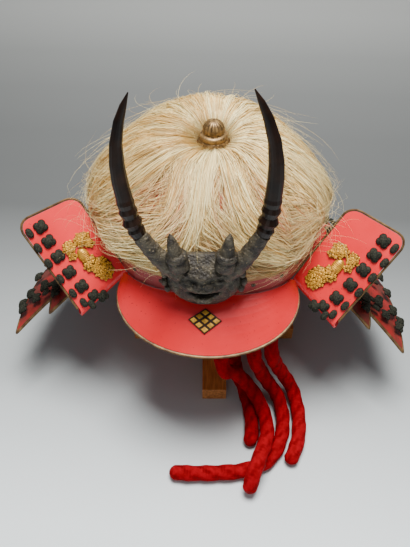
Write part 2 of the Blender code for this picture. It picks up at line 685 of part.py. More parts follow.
def make_hair(hair):
    """Locks of hair fused to one backing: the outer form is ridged, and its lower edge ends in points."""
    angle = np.linspace(0, 2 * np.pi, HAIR_LOCKS * 2, endpoint=False)
    ridge = np.cos(angle * HAIR_LOCKS) * 0.5 + 0.5
    vary = 0.65 + 0.35 * np.sin(angle * 5 + 1.0) * np.sin(angle * 3)
    length = np.where(np.sin(angle) < 0, HAIR_FRONT, HAIR_BACK)
    reach = plan_radius(HAIR_HALF_WIDTH, length, angle, HAIR_PLAN_POWER)
    backward = np.clip(np.sin(angle), 0, 1)
    forward = np.clip(-np.sin(angle), 0, 1)
    beside_flap = np.exp(-((np.abs(np.cos(angle)) - 0.93) / 0.12) ** 2) * (np.sin(angle) < 0.1)
    front_rise = (HAIR_FRONT_EDGE_Z - HAIR_SIDE_EDGE_Z) * np.clip(forward * 1.5, 0, 1)
    edge = HAIR_SIDE_EDGE_Z + front_rise - HAIR_BACK_DIP * backward
    outer = []
    for place, (spread, height) in enumerate(HAIR_SECTIONS):
        share = place / (len(HAIR_SECTIONS) - 1)
        groove = HAIR_LOCK_DEPTH * vary * (ridge - 1) * min(1.0, share * 3) * (1 - 0.7 * forward)
        press = HAIR_FLAP_PRESS * beside_flap * np.clip((share - 0.55) / 0.3, 0, 1)
        radius = np.maximum((reach * spread + groove) * (1 - press), HAIR_HOLE_RADIUS)
        puff = HAIR_BACK_PUFF * backward ** 2 * (1 - share) * min(1, share * 4)
        z = HAIR_FOOT_Z + (HAIR_TOP_Z - HAIR_FOOT_Z) * height + puff
        points = ring(radius, angle, np.maximum(z, edge + 0.006))
        points[:, 0] += HAIR_SHIFT * min(1.0, share * 3)
        outer.append(clear_of_bowl(points, HAIR_LIFT + HAIR_LEAST))
    against_band = plan_radius(*band_size(HAIR_LIFT), angle)
    tip = plan_radius(*band_size(2 * HAIR_LIFT), angle) + HAIR_TIP_SPREAD * (1 - forward)
    outer.append(ring(tip, angle, np.maximum(edge - HAIR_TIP_DEPTH * ridge * vary, RIM_Z)))
    behind_tip = np.maximum(edge - 0.8 * HAIR_TIP_DEPTH * ridge * vary, RIM_Z + GAP * 3)
    inner = [ring(against_band, angle, behind_tip)]
    shoulder = RIM_Z + BAND_HEIGHT
    inner.append(ring(against_band, angle, np.maximum(edge + 0.002, shoulder + HAIR_LIFT)))
    rise = RIM_Z + BOWL_HEIGHT + HAIR_LIFT - shoulder
    radius = plan_radius(BOWL_HALF_WIDTH + HAIR_LIFT, BOWL_HALF_LENGTH + HAIR_LIFT, angle)
    for turn in np.radians(HAIR_BACKING_TURNS):
        height = shoulder + rise * math.sin(turn) ** (2 / DOME_POWER) + HAIR_LIFT
        inner.append(ring(radius * math.cos(turn) ** (2 / DOME_POWER), angle, height))
    inner.append(ring(HAIR_HOLE_RADIUS + 0 * angle, angle, RIM_Z + BOWL_HEIGHT + HAIR_LIFT))
    loft("hair", outer + inner, hair, wrap=True)


def cord(name, points, radius, finish, resolution=2):
    """A round cord: a curve with a bevel and filled ends."""
    curve = bpy.data.curves.new(name, "CURVE")
    curve.dimensions = "3D"
    curve.bevel_depth = radius
    curve.bevel_resolution = resolution
    curve.use_fill_caps = True
    spline = curve.splines.new("POLY")
    spline.points.add(len(points) - 1)
    for place, point in zip(spline.points, points):
        place.co = (*[float(v) for v in point], 1.0)
    curve.materials.append(finish)
    made = bpy.data.objects.new(name, curve)
    bpy.context.scene.collection.objects.link(made)
    return made


def make_cords(rope):
    """Four cord ends that hang from holes in the bowl's wall and lie on the floor."""
    size = BOWL_HALF_WIDTH - BOWL_WALL, BOWL_HALF_LENGTH - BOWL_WALL
    for name, (degrees, route) in CORD_ROUTES.items():
        angle = math.radians(degrees)
        hole = ring(plan_radius(*size, angle), angle, CORD_HOLE_Z)
        square = np.array((
            math.copysign(abs(hole[0] / size[0]) ** (PLAN_POWER - 1) / size[0], hole[0]),
            math.copysign(abs(hole[1] / size[1]) ** (PLAN_POWER - 1) / size[1], hole[1]),
            0.0,
        ))
        square /= np.linalg.norm(square)
        start = [hole - square * inward - np.array((0, 0, drop)) for inward, drop in CORD_HOLE_DROP]
        points = start + [np.array(point) for point in route]
        _, length = smooth_path(points, 4)
        path, _ = smooth_path(points, int(length / (CORD_RADIUS * CORD_POINT_STEP)))
        path[:, 2] = np.maximum(path[:, 2], CORD_RADIUS + 0.0001)
        cord(name, path, CORD_RADIUS, rope)


def stand_point(x, y, z):
    """A point given along and across the stand, turned to its real direction."""
    cos, sin = math.cos(STAND_TURN), math.sin(STAND_TURN)
    return (STAND_CENTRE.x + x * cos - y * sin, STAND_CENTRE.y + x * sin + y * cos, z)


def lapped_bar(name, along_y, notch_at_top, wood):
    """One bar of the cross base with a half-lap notch at its middle."""
    long, half = STAND_HALF_LENGTH, STAND_BAR_WIDTH / 2
    notch = half + GAP
    low, high = (0.0, STAND_BAR_HEIGHT)
    middle = STAND_BAR_HEIGHT / 2
    if notch_at_top:
        middle -= GAP / 2
        outline = [(-long, low), (long, low), (long, high), (notch, high), (notch, middle),
                   (-notch, middle), (-notch, high), (-long, high)]
    else:
        middle += GAP / 2
        outline = [(-long, low), (-notch, low), (-notch, middle), (notch, middle), (notch, low),
                   (long, low), (long, high), (-long, high)]
    vertices = []
    for aside in (-half, half):
        for along, z in outline:
            vertices.append(stand_point(aside, along, z) if along_y else stand_point(along, aside, z))
    count = len(outline)
    faces = [tuple(range(count)), tuple(range(2 * count - 1, count - 1, -1))]
    for a in range(count):
        b = (a + 1) % count
        faces.append((b, a, count + a, count + b))
    made = finish_mesh(name, vertices, faces, wood)
    return made


def make_stand(wood):
    """Half-lapped cross base, post and round head under the crown."""
    lapped_bar("stand_bar_long", True, True, wood)
    lapped_bar("stand_bar_cross", False, False, wood)
    turn = np.linspace(0, 2 * np.pi, 32, endpoint=False)
    reach = STAND_CENTRE.length + STAND_HEAD_RADIUS
    head_top = dome_height(0.0, -reach, BOWL_WALL) - GAP
    head_low = head_top - STAND_HEAD_THICKNESS
    centre = np.array([STAND_CENTRE.x, STAND_CENTRE.y, 0.0])
    post = [ring(STAND_POST_RADIUS + 0 * turn, turn, z) + centre
            for z in (STAND_BAR_HEIGHT + GAP, head_low - GAP)]
    loft("stand_post", post, wood)
    head = [ring(STAND_HEAD_RADIUS * r + 0 * turn, turn, head_low + STAND_HEAD_THICKNESS * h) + centre
            for r, h in ((0.95, 0.0), (1.0, 0.12), (1.0, 0.88), (0.97, 1.0))]
    loft("stand_head", head, wood)


def main():
    """Clears the scene and builds every piece."""
    for old in list(bpy.data.objects):
        bpy.data.objects.remove(old)
    lacquer = material("red_lacquer", (0.72, 0.05, 0.05), 0.35)
    dark_lacquer = material("dark_red_lacquer", (0.30, 0.02, 0.03), 0.4)
    bronze = material("dark_bronze", (0.07, 0.06, 0.05), 0.55, 0.7)
    horn = material("dark_horn", (0.035, 0.015, 0.01), 0.3)
    edging = material("aged_brass", (0.45, 0.28, 0.14), 0.45, 0.8)
    gilt = material("gilt", (0.75, 0.50, 0.16), 0.35, 1.0)
    hair = material("pale_hair", (0.78, 0.66, 0.48), 0.6)
    rope = material("red_rope", (0.62, 0.01, 0.02), 0.8)
    wood = material("brown_wood", (0.33, 0.15, 0.05), 0.5)
    make_bowl(dark_lacquer)
    make_waist_band(dark_lacquer)
    make_peak(lacquer, edging)
    make_crest_plate(gilt)
    make_neck_guard(lacquer, edging)
    make_lions(gilt)
    make_mask(bronze)
    make_horn("horn_left", -1, horn)
    make_horn("horn_right", 1, horn)
    make_finial(gilt)
    make_hair(hair)
    make_cords(rope)
    make_stand(wood)


main()
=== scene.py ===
"""Dressed view of the samurai helmet on its stand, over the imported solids.

Metres, +Z up, the front towards -Y. Every surface is worked out from named sizes with whole arrays.
"""

import logging
import math
from collections.abc import Callable
from dataclasses import dataclass, field
from enum import Enum

import bpy
import numpy as np
from mathutils import Vector
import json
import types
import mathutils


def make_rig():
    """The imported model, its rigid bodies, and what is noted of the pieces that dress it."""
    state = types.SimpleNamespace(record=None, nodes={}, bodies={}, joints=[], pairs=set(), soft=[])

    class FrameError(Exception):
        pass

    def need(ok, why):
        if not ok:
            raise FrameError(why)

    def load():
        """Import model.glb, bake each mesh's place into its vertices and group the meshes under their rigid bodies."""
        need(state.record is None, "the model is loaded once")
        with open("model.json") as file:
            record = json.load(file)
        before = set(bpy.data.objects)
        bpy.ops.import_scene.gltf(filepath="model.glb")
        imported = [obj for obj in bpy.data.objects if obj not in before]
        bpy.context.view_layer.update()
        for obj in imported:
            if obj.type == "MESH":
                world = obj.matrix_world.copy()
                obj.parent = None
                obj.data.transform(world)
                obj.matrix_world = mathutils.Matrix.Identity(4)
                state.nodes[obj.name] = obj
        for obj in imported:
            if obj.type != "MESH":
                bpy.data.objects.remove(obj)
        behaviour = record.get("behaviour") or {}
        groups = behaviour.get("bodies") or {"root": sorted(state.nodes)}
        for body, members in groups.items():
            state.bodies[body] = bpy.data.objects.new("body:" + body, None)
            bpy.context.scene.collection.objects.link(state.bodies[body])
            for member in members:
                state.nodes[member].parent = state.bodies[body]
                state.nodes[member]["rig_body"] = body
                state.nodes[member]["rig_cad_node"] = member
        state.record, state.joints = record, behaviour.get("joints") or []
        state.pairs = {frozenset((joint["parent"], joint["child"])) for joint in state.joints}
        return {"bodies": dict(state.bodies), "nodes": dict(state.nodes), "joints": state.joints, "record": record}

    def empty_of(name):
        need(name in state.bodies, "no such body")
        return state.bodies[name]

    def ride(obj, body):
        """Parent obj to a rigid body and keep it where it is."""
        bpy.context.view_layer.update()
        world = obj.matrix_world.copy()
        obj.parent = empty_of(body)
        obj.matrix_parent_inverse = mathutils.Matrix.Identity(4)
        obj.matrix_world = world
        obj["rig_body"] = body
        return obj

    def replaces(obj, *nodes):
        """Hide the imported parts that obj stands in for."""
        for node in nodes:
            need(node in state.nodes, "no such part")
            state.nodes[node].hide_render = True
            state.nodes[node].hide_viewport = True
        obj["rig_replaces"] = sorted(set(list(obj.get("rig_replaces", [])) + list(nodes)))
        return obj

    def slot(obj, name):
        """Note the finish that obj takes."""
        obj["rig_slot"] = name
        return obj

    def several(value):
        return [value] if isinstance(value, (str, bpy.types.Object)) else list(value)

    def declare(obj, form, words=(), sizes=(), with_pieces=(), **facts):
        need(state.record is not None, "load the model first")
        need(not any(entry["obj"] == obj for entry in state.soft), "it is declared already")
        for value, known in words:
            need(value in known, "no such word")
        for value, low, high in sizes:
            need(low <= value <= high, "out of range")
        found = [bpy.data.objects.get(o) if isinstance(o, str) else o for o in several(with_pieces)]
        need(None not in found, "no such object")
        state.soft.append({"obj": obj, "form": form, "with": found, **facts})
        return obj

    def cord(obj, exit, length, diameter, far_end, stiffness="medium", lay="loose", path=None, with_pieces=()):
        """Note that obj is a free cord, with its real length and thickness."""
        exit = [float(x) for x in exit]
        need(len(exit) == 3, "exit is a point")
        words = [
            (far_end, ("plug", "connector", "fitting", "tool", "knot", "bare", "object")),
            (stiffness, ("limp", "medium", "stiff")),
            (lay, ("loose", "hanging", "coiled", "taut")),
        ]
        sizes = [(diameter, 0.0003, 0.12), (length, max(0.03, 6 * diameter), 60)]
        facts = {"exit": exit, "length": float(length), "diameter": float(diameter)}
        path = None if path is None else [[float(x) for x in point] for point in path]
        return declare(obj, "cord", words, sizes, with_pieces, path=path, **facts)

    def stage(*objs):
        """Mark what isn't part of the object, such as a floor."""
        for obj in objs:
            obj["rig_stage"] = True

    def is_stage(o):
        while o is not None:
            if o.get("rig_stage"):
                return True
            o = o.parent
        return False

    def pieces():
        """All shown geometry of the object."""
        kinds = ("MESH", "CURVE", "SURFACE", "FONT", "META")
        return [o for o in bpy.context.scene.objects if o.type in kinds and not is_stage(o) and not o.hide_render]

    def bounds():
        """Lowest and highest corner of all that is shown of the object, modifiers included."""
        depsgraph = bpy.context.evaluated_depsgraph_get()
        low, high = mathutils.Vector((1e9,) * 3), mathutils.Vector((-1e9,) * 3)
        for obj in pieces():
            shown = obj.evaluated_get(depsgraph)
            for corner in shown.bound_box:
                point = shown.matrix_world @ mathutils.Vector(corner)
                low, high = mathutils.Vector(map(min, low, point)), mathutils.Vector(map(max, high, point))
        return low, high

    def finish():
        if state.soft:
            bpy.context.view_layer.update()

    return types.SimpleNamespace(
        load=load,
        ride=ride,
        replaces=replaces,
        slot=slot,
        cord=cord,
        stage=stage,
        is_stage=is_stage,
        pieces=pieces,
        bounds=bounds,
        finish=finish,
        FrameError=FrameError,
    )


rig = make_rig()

LOG = logging.getLogger("helmet")

# Sizes shared with the solids
GAP = 0.0003
RIM_Z = 0.187
BOWL_HALF_WIDTH = 0.1052
BOWL_HALF_LENGTH = 0.1147
BOWL_HEIGHT = 0.108
BOWL_WALL = 0.0025
PLAN_POWER = 2.7
DOME_POWER = 2.25
BAND_HEIGHT = 0.026
BAND_WALL = 0.0025
PEAK_THICKNESS = 0.0025
PEAK_HALF_WIDTH = 0.0972
PEAK_REACH = 0.0750
PEAK_CENTRE_Y = -0.095
PEAK_JOINT_Z = 0.193
PEAK_JOINT_DROP = 0.0055
PEAK_FRONT_Z = 0.159
PEAK_END_Z = 0.172
PEAK_JOINT_ANGLE = math.radians(45)
PEAK_RIM_ANGLE = math.radians(103)
PEAK_BULGE = 0.003
PLATE_WIDTH = 0.034
PLATE_LENGTH = 0.022
PLATE_SHARE = 0.47
GUARD_TOP_Z = 0.1856
GUARD_FRONT_DIP = 0.027
GUARD_LOW_Z = 0.090
GUARD_FRONT_LOW_Z = 0.100
GUARD_BACK_RADIUS = 0.192
GUARD_FRONT_FLARE = 0.062
GUARD_FLARE_ANGLE = math.radians(115)
GUARD_FLARE_POWER = 2.4
GUARD_BULGE = 0.004
LAME_THICKNESS = 0.0025
FLAP_FOOT_INNER = np.array((0.0975, -0.064, 0.172))
FLAP_FOOT_OUTER = np.array((0.142, -0.109, 0.149))
FLAP_RISE = np.array((0.0520, 0.0385, 0.0665))
FLAP_OUTER_SHARE = 1.2
CREST_FOOT = np.array((0.0, -0.130, 0.190))
CREST_TILT = math.atan(0.12)
CREST_LEAN = math.radians(3.3)
HAIR_SHIFT = -0.006
HAIR_HALF_WIDTH = 0.141
HAIR_FRONT = 0.118
HAIR_BACK = 0.150
HAIR_TOP_Z = 0.296
HAIR_FOOT_Z = 0.187
HAIR_FRONT_EDGE_Z = 0.2165
HAIR_SIDE_EDGE_Z = 0.200
HAIR_BACK_PUFF = 0.017
HAIR_CLEAR = 0.0042
HAIR_CENTRE = np.array((0, 0, 0.20))
# Radius share and height share of the hair's outer form, from the finial down to the tips
HAIR_SECTIONS = np.array((
    (0.145, 1.05), (0.24, 1.08), (0.38, 1.05), (0.53, 0.96), (0.69, 0.81),
    (0.83, 0.63), (0.94, 0.44), (1.00, 0.28), (0.985, 0.17), (0.93, 0.10),
))
CORD_HOLE_Z = 0.201
CORD_HOLE_DROP = (
    (0.0032, 0.0002), (0.0093, 0.0009), (0.0160, 0.0045), (0.0215, 0.014), (0.0235, 0.032),
)
CORD_RADIUS = 0.0088
CORD_ROUTES = dict(
    cord_left_end=(-60.0, (
        (0.0545, -0.123, 0.102), (0.063, -0.122, 0.068), (0.0755, -0.121, 0.038),
        (0.088, -0.126, 0.019),
        (0.0945, -0.140, 0.0095), (0.0962, -0.158, 0.009), (0.093, -0.180, 0.009), (0.083, -0.201, 0.009),
        (0.067, -0.215, 0.009), (0.045, -0.223, 0.009), (0.016, -0.227, 0.009), (-0.012, -0.229, 0.009),
        (-0.0355, -0.229, 0.009),
    )),
    cord_front_end=(-84.0, (
        (0.019, -0.137, 0.095), (0.034, -0.132, 0.072), (0.0475, -0.130, 0.049), (0.0595, -0.134, 0.031),
        (0.0685, -0.146, 0.0225), (0.0740, -0.162, 0.0195), (0.0755, -0.181, 0.0210),
        (0.0715, -0.198, 0.0255), (0.0675, -0.209, 0.0285), (0.0640, -0.220, 0.0285),
        (0.0598, -0.2315, 0.0255), (0.0565, -0.2405, 0.0165), (0.0540, -0.2475, 0.0092),
    )),
    cord_short_end=(-72.0, (
        (0.029, -0.112, 0.110), (0.032, -0.108, 0.072), (0.037, -0.109, 0.040), (0.0465, -0.118, 0.019),
        (0.0535, -0.137, 0.0095), (0.0575, -0.156, 0.009), (0.0580, -0.176, 0.009), (0.0545, -0.192, 0.009),
    )),
    cord_outer_end=(-44.0, (
        (0.074, -0.118, 0.106), (0.083, -0.114, 0.068), (0.0955, -0.112, 0.040), (0.1075, -0.117, 0.019),
        (0.1145, -0.138, 0.0095), (0.1155, -0.160, 0.009), (0.1130, -0.181, 0.009), (0.107, -0.198, 0.009),
        (0.1005, -0.2105, 0.009),
    )),
)


def plan_radius(half_width: float, half_length: float | np.ndarray, angle: np.ndarray,
                power: float = PLAN_POWER) -> np.ndarray:
    """Radius of a rounded oblong in plan: (|cos/a|^p + |sin/b|^p)^(-1/p).

    Args:
        half_width: half size along X.
        half_length: half size along Y.
        angle: angles from +X, in radians.
        power: 2 for an ellipse, more for squarer corners.

    Returns:
        The radius at each angle.
    """
    wide = np.abs(np.cos(angle) / half_width) ** power
    long = np.abs(np.sin(angle) / half_length) ** power
    return (wide + long) ** (-1 / power)


def ring(radius: np.ndarray, angle: np.ndarray, height: np.ndarray) -> np.ndarray:
    """Points at radii, angles and heights about the Z axis.

    Args:
        radius: distances from the axis.
        angle: angles from +X.
        height: heights above the floor.

    Returns:
        Points, with the coordinates on the last axis.
    """
    radius, angle, height = np.broadcast_arrays(radius, angle, height)
    return np.stack([radius * np.cos(angle), radius * np.sin(angle), height], axis=-1)


def unit(vectors: np.ndarray) -> np.ndarray:
    """Vectors scaled to length one.

    Args:
        vectors: an array with the coordinates on the last axis.

    Returns:
        The same directions with length one.
    """
    return vectors / np.maximum(np.linalg.norm(vectors, axis=-1, keepdims=True), 1e-12)


def wrap(angle: np.ndarray) -> np.ndarray:
    """Angles brought between -pi and pi.

    Args:
        angle: angles in radians.

    Returns:
        The same directions between -pi and pi.
    """
    return np.arctan2(np.sin(angle), np.cos(angle))


def smooth_step(value: np.ndarray) -> np.ndarray:
    """Eases 0 to 1: 3x^2 - 2x^3 between the ends.

    Args:
        value: any numbers.

    Returns:
        Numbers from 0 to 1.
    """
    value = np.clip(value, 0, 1)
    return value * value * (3 - 2 * value)


def spline(points: np.ndarray, count: int) -> np.ndarray:
    """Evenly spaced points on a smooth curve through the given ones (Catmull-Rom).

    Args:
        points: points on the curve, one a row.
        count: how many points to return.

    Returns:
        The new points.
    """
    points = np.asarray(points, float)
    padded = np.concatenate([2 * points[:1] - points[1:2], points, 2 * points[-1:] - points[-2:-1]])
    share = np.linspace(0, 1, 24, endpoint=False)[None, :, None]
    a, b, c, d = (padded[i:len(padded) - 3 + i, None] for i in range(4))
    fine = 0.5 * (2 * b + (c - a) * share + (2 * a - 5 * b + 4 * c - d) * share ** 2
                  + (3 * b - a - 3 * c + d) * share ** 3)
    fine = np.concatenate([fine.reshape(-1, points.shape[1]), points[-1:]])
    run = np.concatenate([[0], np.cumsum(np.linalg.norm(np.diff(fine, axis=0), axis=1))])
    wanted = np.linspace(0, run[-1], count)
    return np.stack([np.interp(wanted, run, fine[:, k]) for k in range(points.shape[1])], axis=1)


def band_radius(angle: np.ndarray, extra: float = 0.0) -> np.ndarray:
    """Outer radius of the upright band round the bowl's foot.

    Args:
        angle: angles from +X.
        extra: distance outside the band's own surface.

    Returns:
        The radius at each angle.
    """
    grow = GAP + BAND_WALL + extra
    return plan_radius(BOWL_HALF_WIDTH + grow, BOWL_HALF_LENGTH + grow, angle)


def peak_point(turn: np.ndarray, share: np.ndarray) -> np.ndarray:
    """Middle surface of the peak, ruled between its joint and its rim.

    Args:
        turn: from -1 to 1 round the peak.
        share: from 0 at the bowl to 1 at the rim.

    Returns:
        The points.
    """
    joint_angle = -0.5 * np.pi + turn * PEAK_JOINT_ANGLE
    joint = ring(band_radius(joint_angle, 4 * GAP), joint_angle, PEAK_JOINT_Z - PEAK_JOINT_DROP * turn ** 2)
    swing = turn * PEAK_RIM_ANGLE
    lift = (1 - np.cos(swing)) / (1 - math.cos(PEAK_RIM_ANGLE))
    rim = np.stack([PEAK_HALF_WIDTH * np.sin(swing), PEAK_CENTRE_Y - PEAK_REACH * np.cos(swing),
                    PEAK_FRONT_Z + (PEAK_END_Z - PEAK_FRONT_Z) * lift], axis=-1)
    share = np.asarray(share)[..., None]
    point = joint + (rim - joint) * share
    point[..., 2] += (PEAK_BULGE * 4 * share * (1 - share))[..., 0]
    return point


def guard_point(angle: np.ndarray, depth: np.ndarray) -> np.ndarray:
    """Surface of the neck guard, flaring outwards as it falls.

    Args:
        angle: angles from the back, in radians.
        depth: from 0 at its top edge to 1 at its lowest.

    Returns:
        The points.
    """
    azimuth = 0.5 * np.pi - angle
    top_radius = band_radius(azimuth, -0.5 * BAND_WALL)
    turned = np.abs(angle) / GUARD_FLARE_ANGLE
    low_radius = GUARD_BACK_RADIUS + GUARD_FRONT_FLARE * turned ** GUARD_FLARE_POWER
    radius = top_radius + (low_radius - top_radius) * depth
    fall = np.clip((np.abs(angle) - math.radians(85)) / math.radians(35), 0, 1.15)
    top_z = GUARD_TOP_Z - GUARD_FRONT_DIP * fall
    low_z = GUARD_LOW_Z + (GUARD_FRONT_LOW_Z - GUARD_LOW_Z) * fall
    height = top_z + (low_z - top_z) * depth + GUARD_BULGE * 4 * depth * (1 - depth)
    return ring(radius, azimuth, height)


def guard_frame(angle: np.ndarray, depth: np.ndarray) -> tuple[np.ndarray, ...]:
    """Point of the neck guard, with the directions of its surface there.

    Args:
        angle: angles from the back, in radians.
        depth: from 0 at its top edge to 1 at its lowest.

    Returns:
        The point, and the unit directions down, around and outwards.
    """
    middle = guard_point(angle, depth)
    down = unit(guard_point(angle, depth + 0.01) - guard_point(angle, depth - 0.01))
    around = unit(guard_point(angle + 0.01, depth) - guard_point(angle - 0.01, depth))
    facing = unit(np.cross(down, around))
    outward = np.sign((facing * (middle - np.array((0, 0, 0.1)))).sum(axis=-1, keepdims=True))
    return middle, down, around, facing * outward


def flap_point(along: np.ndarray, across: np.ndarray, side: int) -> np.ndarray:
    """Point in the middle plane of a turned-back flap.

    Args:
        along: from 0 at its foot to 1 at its end.
        across: from 0 at its inner edge to 1 at its outer one.
        side: 1 for the right-hand flap, -1 for the left.

    Returns:
        The points.
    """
    along, across = np.asarray(along)[..., None], np.asarray(across)[..., None]
    foot = FLAP_FOOT_INNER + (FLAP_FOOT_OUTER - FLAP_FOOT_INNER) * across
    return (foot + FLAP_RISE * (1 + (FLAP_OUTER_SHARE - 1) * across) * along) * np.array((side, 1, 1))


def flap_facing(side: int) -> np.ndarray:
    """Direction that a flap's shown face looks in.

    Args:
        side: 1 for the right-hand flap, -1 for the left.

    Returns:
        A vector of length one.
    """
    facing = np.cross(FLAP_FOOT_OUTER - FLAP_FOOT_INNER, FLAP_RISE)
    facing *= -np.sign(facing[1])
    return unit(facing) * np.array((side, 1, 1))


def crest_point(across: np.ndarray, up: np.ndarray, forward: np.ndarray) -> np.ndarray:
    """Point of the crest, whose plane tilts back and leans to one side.

    Args:
        across: distance to the right in the crest's plane.
        up: distance above its foot.
        forward: distance in front of its plane.

    Returns:
        The points.
    """
    across, up, forward = np.broadcast_arrays(across, up, forward)
    x = across * math.cos(CREST_LEAN) - up * math.sin(CREST_LEAN)
    rise = across * math.sin(CREST_LEAN) + up * math.cos(CREST_LEAN)
    y = rise * math.sin(CREST_TILT) - forward * math.cos(CREST_TILT)
    z = rise * math.cos(CREST_TILT) + forward * math.sin(CREST_TILT)
    return CREST_FOOT + np.stack([x, y, z], axis=-1)


@dataclass
class Shape:
    """A mesh under construction: points, four-sided and three-sided faces, and named values a point."""

    points: np.ndarray
    quads: np.ndarray
    triangles: np.ndarray
    values: dict[str, np.ndarray] = field(default_factory=dict)

    @staticmethod
    def joined(shapes: list["Shape"]) -> "Shape":
        """One shape made of several.

        Args:
            shapes: the shapes to join.

        Returns:
            The joined shape, with 0 where a shape lacks a named value.
        """
        starts = np.cumsum([0] + [len(s.points) for s in shapes[:-1]])
        names = sorted({name for s in shapes for name in s.values})
        return Shape(
            np.concatenate([s.points for s in shapes]),
            np.concatenate([s.quads + start for s, start in zip(shapes, starts)]),
            np.concatenate([s.triangles + start for s, start in zip(shapes, starts)]),
            {name: np.concatenate([s.values.get(name, np.zeros(len(s.points))) for s in shapes])
             for name in names},
        )

    def build(self, name: str, finish: bpy.types.Material, slot: str, replaced: tuple[str, ...] = ()
              ) -> bpy.types.Object:
        """Puts the shape into the scene as a piece of the object.

        Args:
            name: the piece's name.
            finish: its material.
            slot: the record's material slot that it takes its finish from.
            replaced: the CAD nodes that it stands for.

        Returns:
            The new object.
        """
        mesh = bpy.data.meshes.new(name)
        mesh.vertices.add(len(self.points))
        mesh.vertices.foreach_set("co", np.ascontiguousarray(self.points, np.float32).ravel())
        corners = np.concatenate([self.quads.ravel(), self.triangles.ravel()]).astype(np.int32)
        starts = np.concatenate([np.arange(len(self.quads)) * 4,
                                 len(self.quads) * 4 + np.arange(len(self.triangles)) * 3])
        mesh.loops.add(len(corners))
        mesh.loops.foreach_set("vertex_index", corners)
        mesh.polygons.add(len(starts))
        mesh.polygons.foreach_set("loop_start", starts.astype(np.int32))
        mesh.update(calc_edges=True)
        mesh.validate()
        for key, value in self.values.items():
            layer = mesh.attributes.new(key, "FLOAT", "POINT")
            layer.data.foreach_set("value", np.ascontiguousarray(value, np.float32))
        mesh.shade_smooth()
        mesh.materials.append(finish)
        made = bpy.data.objects.new(name, mesh)
        bpy.context.scene.collection.objects.link(made)
        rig.ride(made, "root")
        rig.slot(made, slot)
        if replaced:
            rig.replaces(made, *replaced)
        return made


def tubes(paths: np.ndarray, width: np.ndarray, thick: np.ndarray, reference: np.ndarray, sides: int,
          values: dict[str, np.ndarray] | None = None,
          ripple: Callable[[np.ndarray], np.ndarray] | None = None) -> Shape:
    """Closed tubes along many paths at once, each section an ellipse square to its path.

    Args:
        paths: points, as (tube, place, coordinate).
        width: half width at each place, across the reference direction.
        thick: half thickness at each place, along the reference direction.
        reference: the direction that each section's thickness points in.
        sides: number of sides of a section.
        values: named values for each place.
        ripple: optional function of the turn round a section that gives a scale for each point.

    Returns:
        The tubes as one shape.
    """
    count, places, _ = paths.shape
    ahead = unit(np.gradient(paths, axis=1))
    side = unit(np.cross(ahead, np.broadcast_to(reference, paths.shape)))
    other = np.cross(ahead, side)
    turn = np.linspace(0, 2 * np.pi, sides, endpoint=False)
    scale = 1.0 if ripple is None else ripple(turn)[..., None]
    width = np.broadcast_to(width, (count, places))[:, :, None, None]
    thick = np.broadcast_to(thick, (count, places))[:, :, None, None]
    out = (side[:, :, None] * np.cos(turn)[:, None] * width
           + other[:, :, None] * np.sin(turn)[:, None] * thick)
    rings = paths[:, :, None] + out * scale
    points = np.concatenate([rings.reshape(-1, 3), paths[:, 0], paths[:, -1]])
    index = np.arange(count * places * sides).reshape(count, places, sides)
    after = np.roll(index, -1, axis=2)
    quads = np.stack([index[:, :-1], after[:, :-1], after[:, 1:], index[:, 1:]], axis=-1).reshape(-1, 4)
    first = np.broadcast_to((index.size + np.arange(count))[:, None], (count, sides))
    last = first + count
    triangles = np.concatenate([
        np.stack([first, after[:, 0], index[:, 0]], axis=-1).reshape(-1, 3),
        np.stack([last, index[:, -1], after[:, -1]], axis=-1).reshape(-1, 3),
    ])
    spread = {}
    for key, value in (values or {}).items():
        value = np.broadcast_to(value, (count, places))
        spread[key] = np.concatenate([np.repeat(value.reshape(-1), sides), value[:, 0], value[:, -1]])
    return Shape(points, quads, triangles, spread)


def blobs(centres: np.ndarray, axes: np.ndarray, sizes: np.ndarray, sides: int = 12, rows: int = 7,
          values: dict[str, np.ndarray] | None = None) -> Shape:
    """Ellipsoids: each section along the first axis is an ellipse of radius sqrt(1 - t^2).

    Args:
        centres: one centre a row.
        axes: three unit vectors for each, as (blob, axis, coordinate).
        sizes: three half sizes for each.
        sides: number of sides of a section.
        rows: number of sections.
        values: a named value for each blob.

    Returns:
        The ellipsoids as one shape.
    """
    share = np.sin(np.linspace(-0.5 * np.pi, 0.5 * np.pi, rows + 2))
    paths = centres[:, None] + axes[:, None, 0] * share[None, :, None] * sizes[:, None, :1]
    radius = np.sqrt(np.maximum(1 - share ** 2, 1e-6))[None, :]
    spread = {key: np.repeat(np.asarray(value)[:, None], rows + 2, axis=1)
              for key, value in (values or {}).items()}
    return tubes(paths, sizes[:, 1:2] * radius, sizes[:, 2:3] * radius, axes[:, None, 2], sides, spread)


def relief_plate(front: np.ndarray, back: np.ndarray, values: dict[str, np.ndarray]) -> Shape:
    """Closed plate between two grids of points.

    Args:
        front: the shown grid, as (row, column, coordinate).
        back: the hidden grid, of the same size.
        values: named values on the front grid.

    Returns:
        The plate, its front face looking along row direction cross column direction.
    """
    rows, columns, _ = front.shape
    index = np.arange(rows * columns).reshape(rows, columns)
    face = np.stack([index[:-1, :-1], index[1:, :-1], index[1:, 1:], index[:-1, 1:]], axis=-1).reshape(-1, 4)
    rim = np.concatenate([index[0, :-1], index[:-1, -1], index[-1, :0:-1], index[:0:-1, 0]])
    after = np.roll(rim, -1)
    low = rows * columns
    wall = np.stack([rim, after, after + low, rim + low], axis=-1)
    spread = {key: np.concatenate([value.ravel(), value.ravel()]) for key, value in values.items()}
    return Shape(np.concatenate([front.reshape(-1, 3), back.reshape(-1, 3)]),
                 np.concatenate([face, face[:, ::-1] + low, wall]), np.zeros((0, 3), int), spread)


